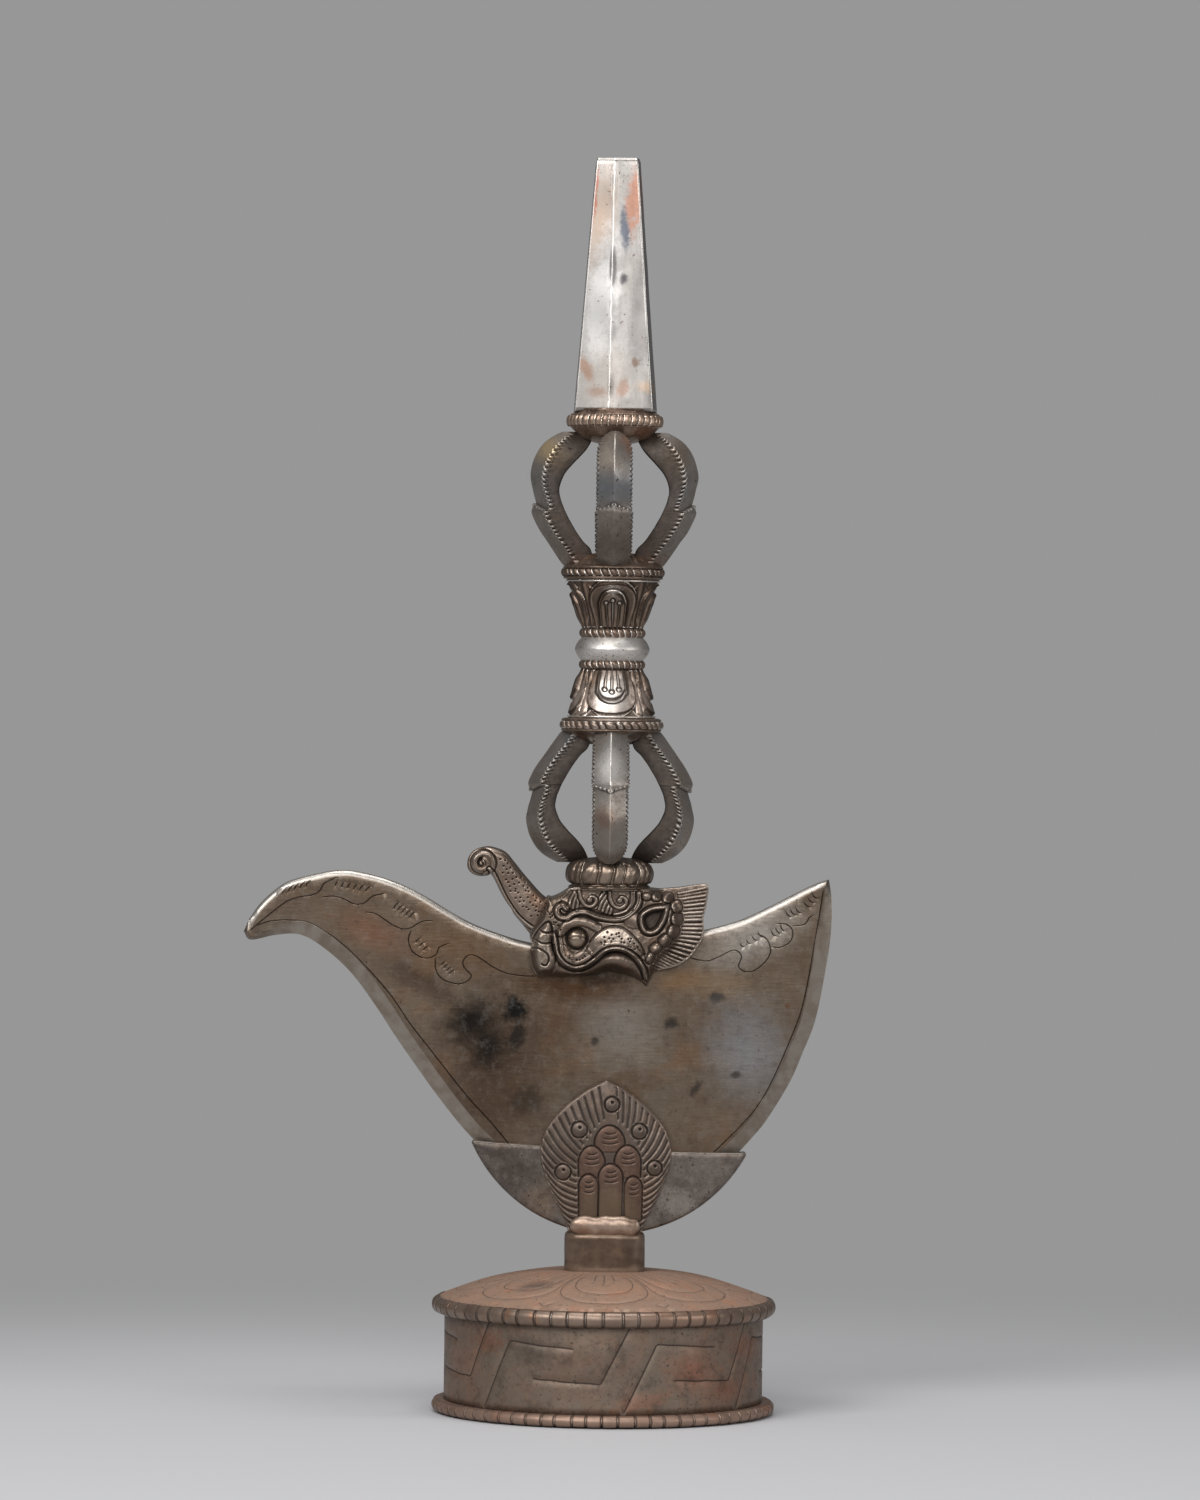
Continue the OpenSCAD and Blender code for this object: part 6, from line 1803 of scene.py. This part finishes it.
TRUNK_UPPER = [
    (-26, 211), (-28.4, 213), (-31.9, 216.8), (-35.5, 220.9), (-39.4, 225.7), (-42.5, 229.2),
    (-46, 230.9), (-50.2, 231.7), (-55.1, 230.4), (-57.8, 227.6), (-58.5, 224.1), (-57.7, 221.7),
    (-55.6, 220), (-52.8, 219.4), (-50.1, 219.7), (-48.8, 220.4)]
TRUNK_LOWER = [
    (-47.6, 218.7), (-46.5, 216.6), (-44.8, 213.2), (-42.3, 209), (-40.2, 206.3), (-38.7, 203.5),
    (-35.2, 199.4), (-32.4, 195.9)]


def trunk():
    """The raised trunk: a punched band over a rolled lower border, both wound into a scroll."""
    outline = np.vstack([curve(TRUNK_UPPER, 6), curve(TRUNK_LOWER, 6),
                         [(-29.5, 196.5), (-23.5, 203), (-22.5, 210)]])
    outline = paced(ring_of(outline), 0.45)[:-1]
    flat, triangles = filled(outline, 0.27)
    x, z = flat.T
    away = from_line(x, z, ring_of(outline))
    half = 5.9
    depth = half - 3.4 * (1 - round_over(1 - np.clip(away / 3.4, 0, 1), 1))
    rib = curve([(-49.4, 222.6), (-47.6, 220.6), (-45.4, 216.2), (-42.6, 210.6), (-38.6, 204.6),
                 (-34.2, 200.4), (-29.0, 197.2)], 6)
    to_rib = from_line(x, z, rib)
    lower = inside(x, z, np.vstack([rib, [(-29, 194), (-33, 194), (-40, 203), (-47, 214.5),
                                          (-50, 219)]]))
    depth = depth - 0.9 * lower * rise(to_rib, 0.4, 1.6) + cord(x, z, rib, 0.8, 1.0, 0.7)
    cx, cz = -52.3, 224.9
    turn = np.linspace(0, 2 * np.pi * 1.35, 90)
    far = 1.9 + 2.9 * (turn / turn[-1])
    coil = np.stack([cx + far * np.cos(turn[-1] - turn - 1.2),
                     cz + far * np.sin(turn[-1] - turn - 1.2)], 1)
    disc = np.hypot(x - cx, z - cz)
    in_disc = rise(6.4 - disc, 0, 0.8)
    to_coil = from_line(x, z, coil)
    winding = 1.5 * round_over(to_coil, 1.5) - 0.9 - 0.5 * bell(to_coil - 1.7, 0.5)
    depth = depth + in_disc * winding + 1.9 * round_over(disc, 1.5)
    dots = pits(x, z, [(-45.5, 227.4), (-42, 226.4), (-37, 220.4), (-30, 212.4), (-24.6, 208.6),
                       (-26.4, 202), (-31, 202.6), (-37.4, 208.4), (-41, 214), (-44.2, 221)],
                2.15, 0.36, 14, 0.3) * (disc > 6.6) * (away > 0.9)
    depth = depth + 0.05 * uneven(x, z, 5, 19)
    sunk = depth - 0.6 * dots
    mark = np.clip(hollows(*solid(flat, triangles, depth, depth), 6, 0.24), -0.5, 1.1)
    mark[:len(x)] = np.where(away < 0.5, np.maximum(mark[:len(x)], -0.2), mark[:len(x)])
    mark[len(x):] = mark[:len(x)]
    mark = mark + 1.5 * np.tile(dots, 2)
    dress("trunk", solid(flat, triangles, sunk, sunk), hollow=mark)


def eyes():
    """An eyeball in each socket, half under its lid, inside a thick ring."""
    radius, seat = 4.1, 7.0
    turn = circle(72)
    outline = np.stack([EYE[0] + radius * np.cos(turn), EYE[1] + radius * np.sin(turn)], 1)
    flat, triangles = filled(outline, 0.24)
    x, z = flat[:, 0] - EYE[0], flat[:, 1] - EYE[1]
    away = np.hypot(x, z)
    ball = 9.6 + 2.9 * round_over(away, radius)
    lid = z - 0.9 + 0.06 * x * x
    depth = ball - 0.3 * bell(lid, 0.6)
    front = solid(flat, triangles, depth, np.full(len(x), -seat))
    shape = joined(front, mirrored(front))
    # The lid's crease and the ball's edge, in the gap round it, darken as grime and painted shade.
    mark = np.tile(0.9 * bell(lid, 0.55) + 0.8 * rise(away, 3.2, 4.0) - 0.2, 4)
    dress("eye_studs", shape, hollow=mark)


blade()
head()
trunk()
eyes()


# Stage, light and camera

BACKGROUND = shade(151, 151, 151)
ROOM = shade(100, 100, 102)


def stage():
    """A pale floor that fades into the grey background behind the object. The background is
    grey to the camera; the metal sees a darker room in its place."""
    finish = Finish("studio_floor")
    pale = shade(183, 183, 185)
    away = finish.patch((0, -350, 0), (1000, 1000, 1000), 0, 0.55)
    finish.wear(Base_Color=pale, Roughness=0.55)
    haze = finish.node("ShaderNodeEmission", None, {"Color": BACKGROUND, "Strength": 1.0})
    output = finish.tree.nodes["Material Output"]
    both = finish.node("ShaderNodeMixShader", None, {
        0: away, 1: haze, 2: Signal(finish, finish.shader.outputs[0])})
    finish.feed(output.inputs["Surface"], both)
    round_it = 96
    turn = circle(round_it)
    rings = np.array([0.3, 0.9, 2.0, 6.0])
    x, y = np.outer(rings, np.cos(turn)).ravel(), np.outer(rings, np.sin(turn)).ravel()
    points = np.vstack([[[0, 0, 0]], np.stack([x, y, 0 * x], 1)])
    c = np.arange(round_it)
    fan = np.stack([0 * c, 1 + c, 1 + (c + 1) % round_it], 1)
    bands = grid_triangles(len(rings), round_it, loop_columns=True)
    faces = np.vstack([fan, 1 + bands[:, ::-1]])
    mesh = bpy.data.meshes.new("studio_floor")
    mesh.from_pydata((points - [0, 0, 0.0006]).tolist(), [], faces.tolist())
    mesh.materials.append(finish.material)
    floor = bpy.data.objects.new("studio_floor", mesh)
    bpy.context.scene.collection.objects.link(floor)
    world = bpy.data.worlds.new("studio")
    world.use_nodes = True
    tree = world.node_tree
    seen = tree.nodes["Background"]
    seen.inputs[0].default_value = BACKGROUND
    room = tree.nodes.new("ShaderNodeBackground")
    room.inputs[0].default_value = ROOM
    ray, both = tree.nodes.new("ShaderNodeLightPath"), tree.nodes.new("ShaderNodeMixShader")
    tree.links.new(ray.outputs["Is Camera Ray"], both.inputs[0])
    tree.links.new(room.outputs[0], both.inputs[1])
    tree.links.new(seen.outputs[0], both.inputs[2])
    tree.links.new(both.outputs[0], tree.nodes["World Output"].inputs[0])
    bpy.context.scene.world = world


def softbox(name, at, aim, size, power):
    """A square lamp that looks from `at` to `aim`, all in metres and watts."""
    lamp = bpy.data.lights.new(name, "AREA")
    lamp.shape, lamp.size, lamp.energy = "SQUARE", size, power
    box = bpy.data.objects.new(name, lamp)
    box.location = at
    box.rotation_euler = (Vector(aim) - Vector(at)).to_track_quat("-Z", "Y").to_euler()
    bpy.context.scene.collection.objects.link(box)


def studio_camera():
    """A long lens level with the grip, turned by the small lean that the photograph has."""
    data = bpy.data.cameras.new("studio_camera")
    data.lens, data.sensor_width = 175, 36
    camera = bpy.data.objects.new("studio_camera", data)
    camera.matrix_world = Matrix.Translation((-0.0045, -3.0, 0.313)) \
        @ Matrix.Rotation(math.radians(90 - 0.785), 4, "X") \
        @ Matrix.Rotation(math.radians(0.73), 4, "Z")
    bpy.context.scene.collection.objects.link(camera)
    bpy.context.scene.camera = camera


stage()
softbox("key", (-1.0, -1.5, 1.3), (0, 0, 0.25), 0.9, 27)
softbox("front", (0.05, -2.3, 1.15), (0, 0, 0.28), 1.1, 23)
softbox("fill", (1.6, -1.0, 0.7), (0, 0, 0.25), 0.8, 9)
softbox("top", (0, -0.2, 1.8), (0, 0, 0.2), 1.0, 20)
studio_camera()
bpy.context.scene.view_settings.view_transform = "Standard"
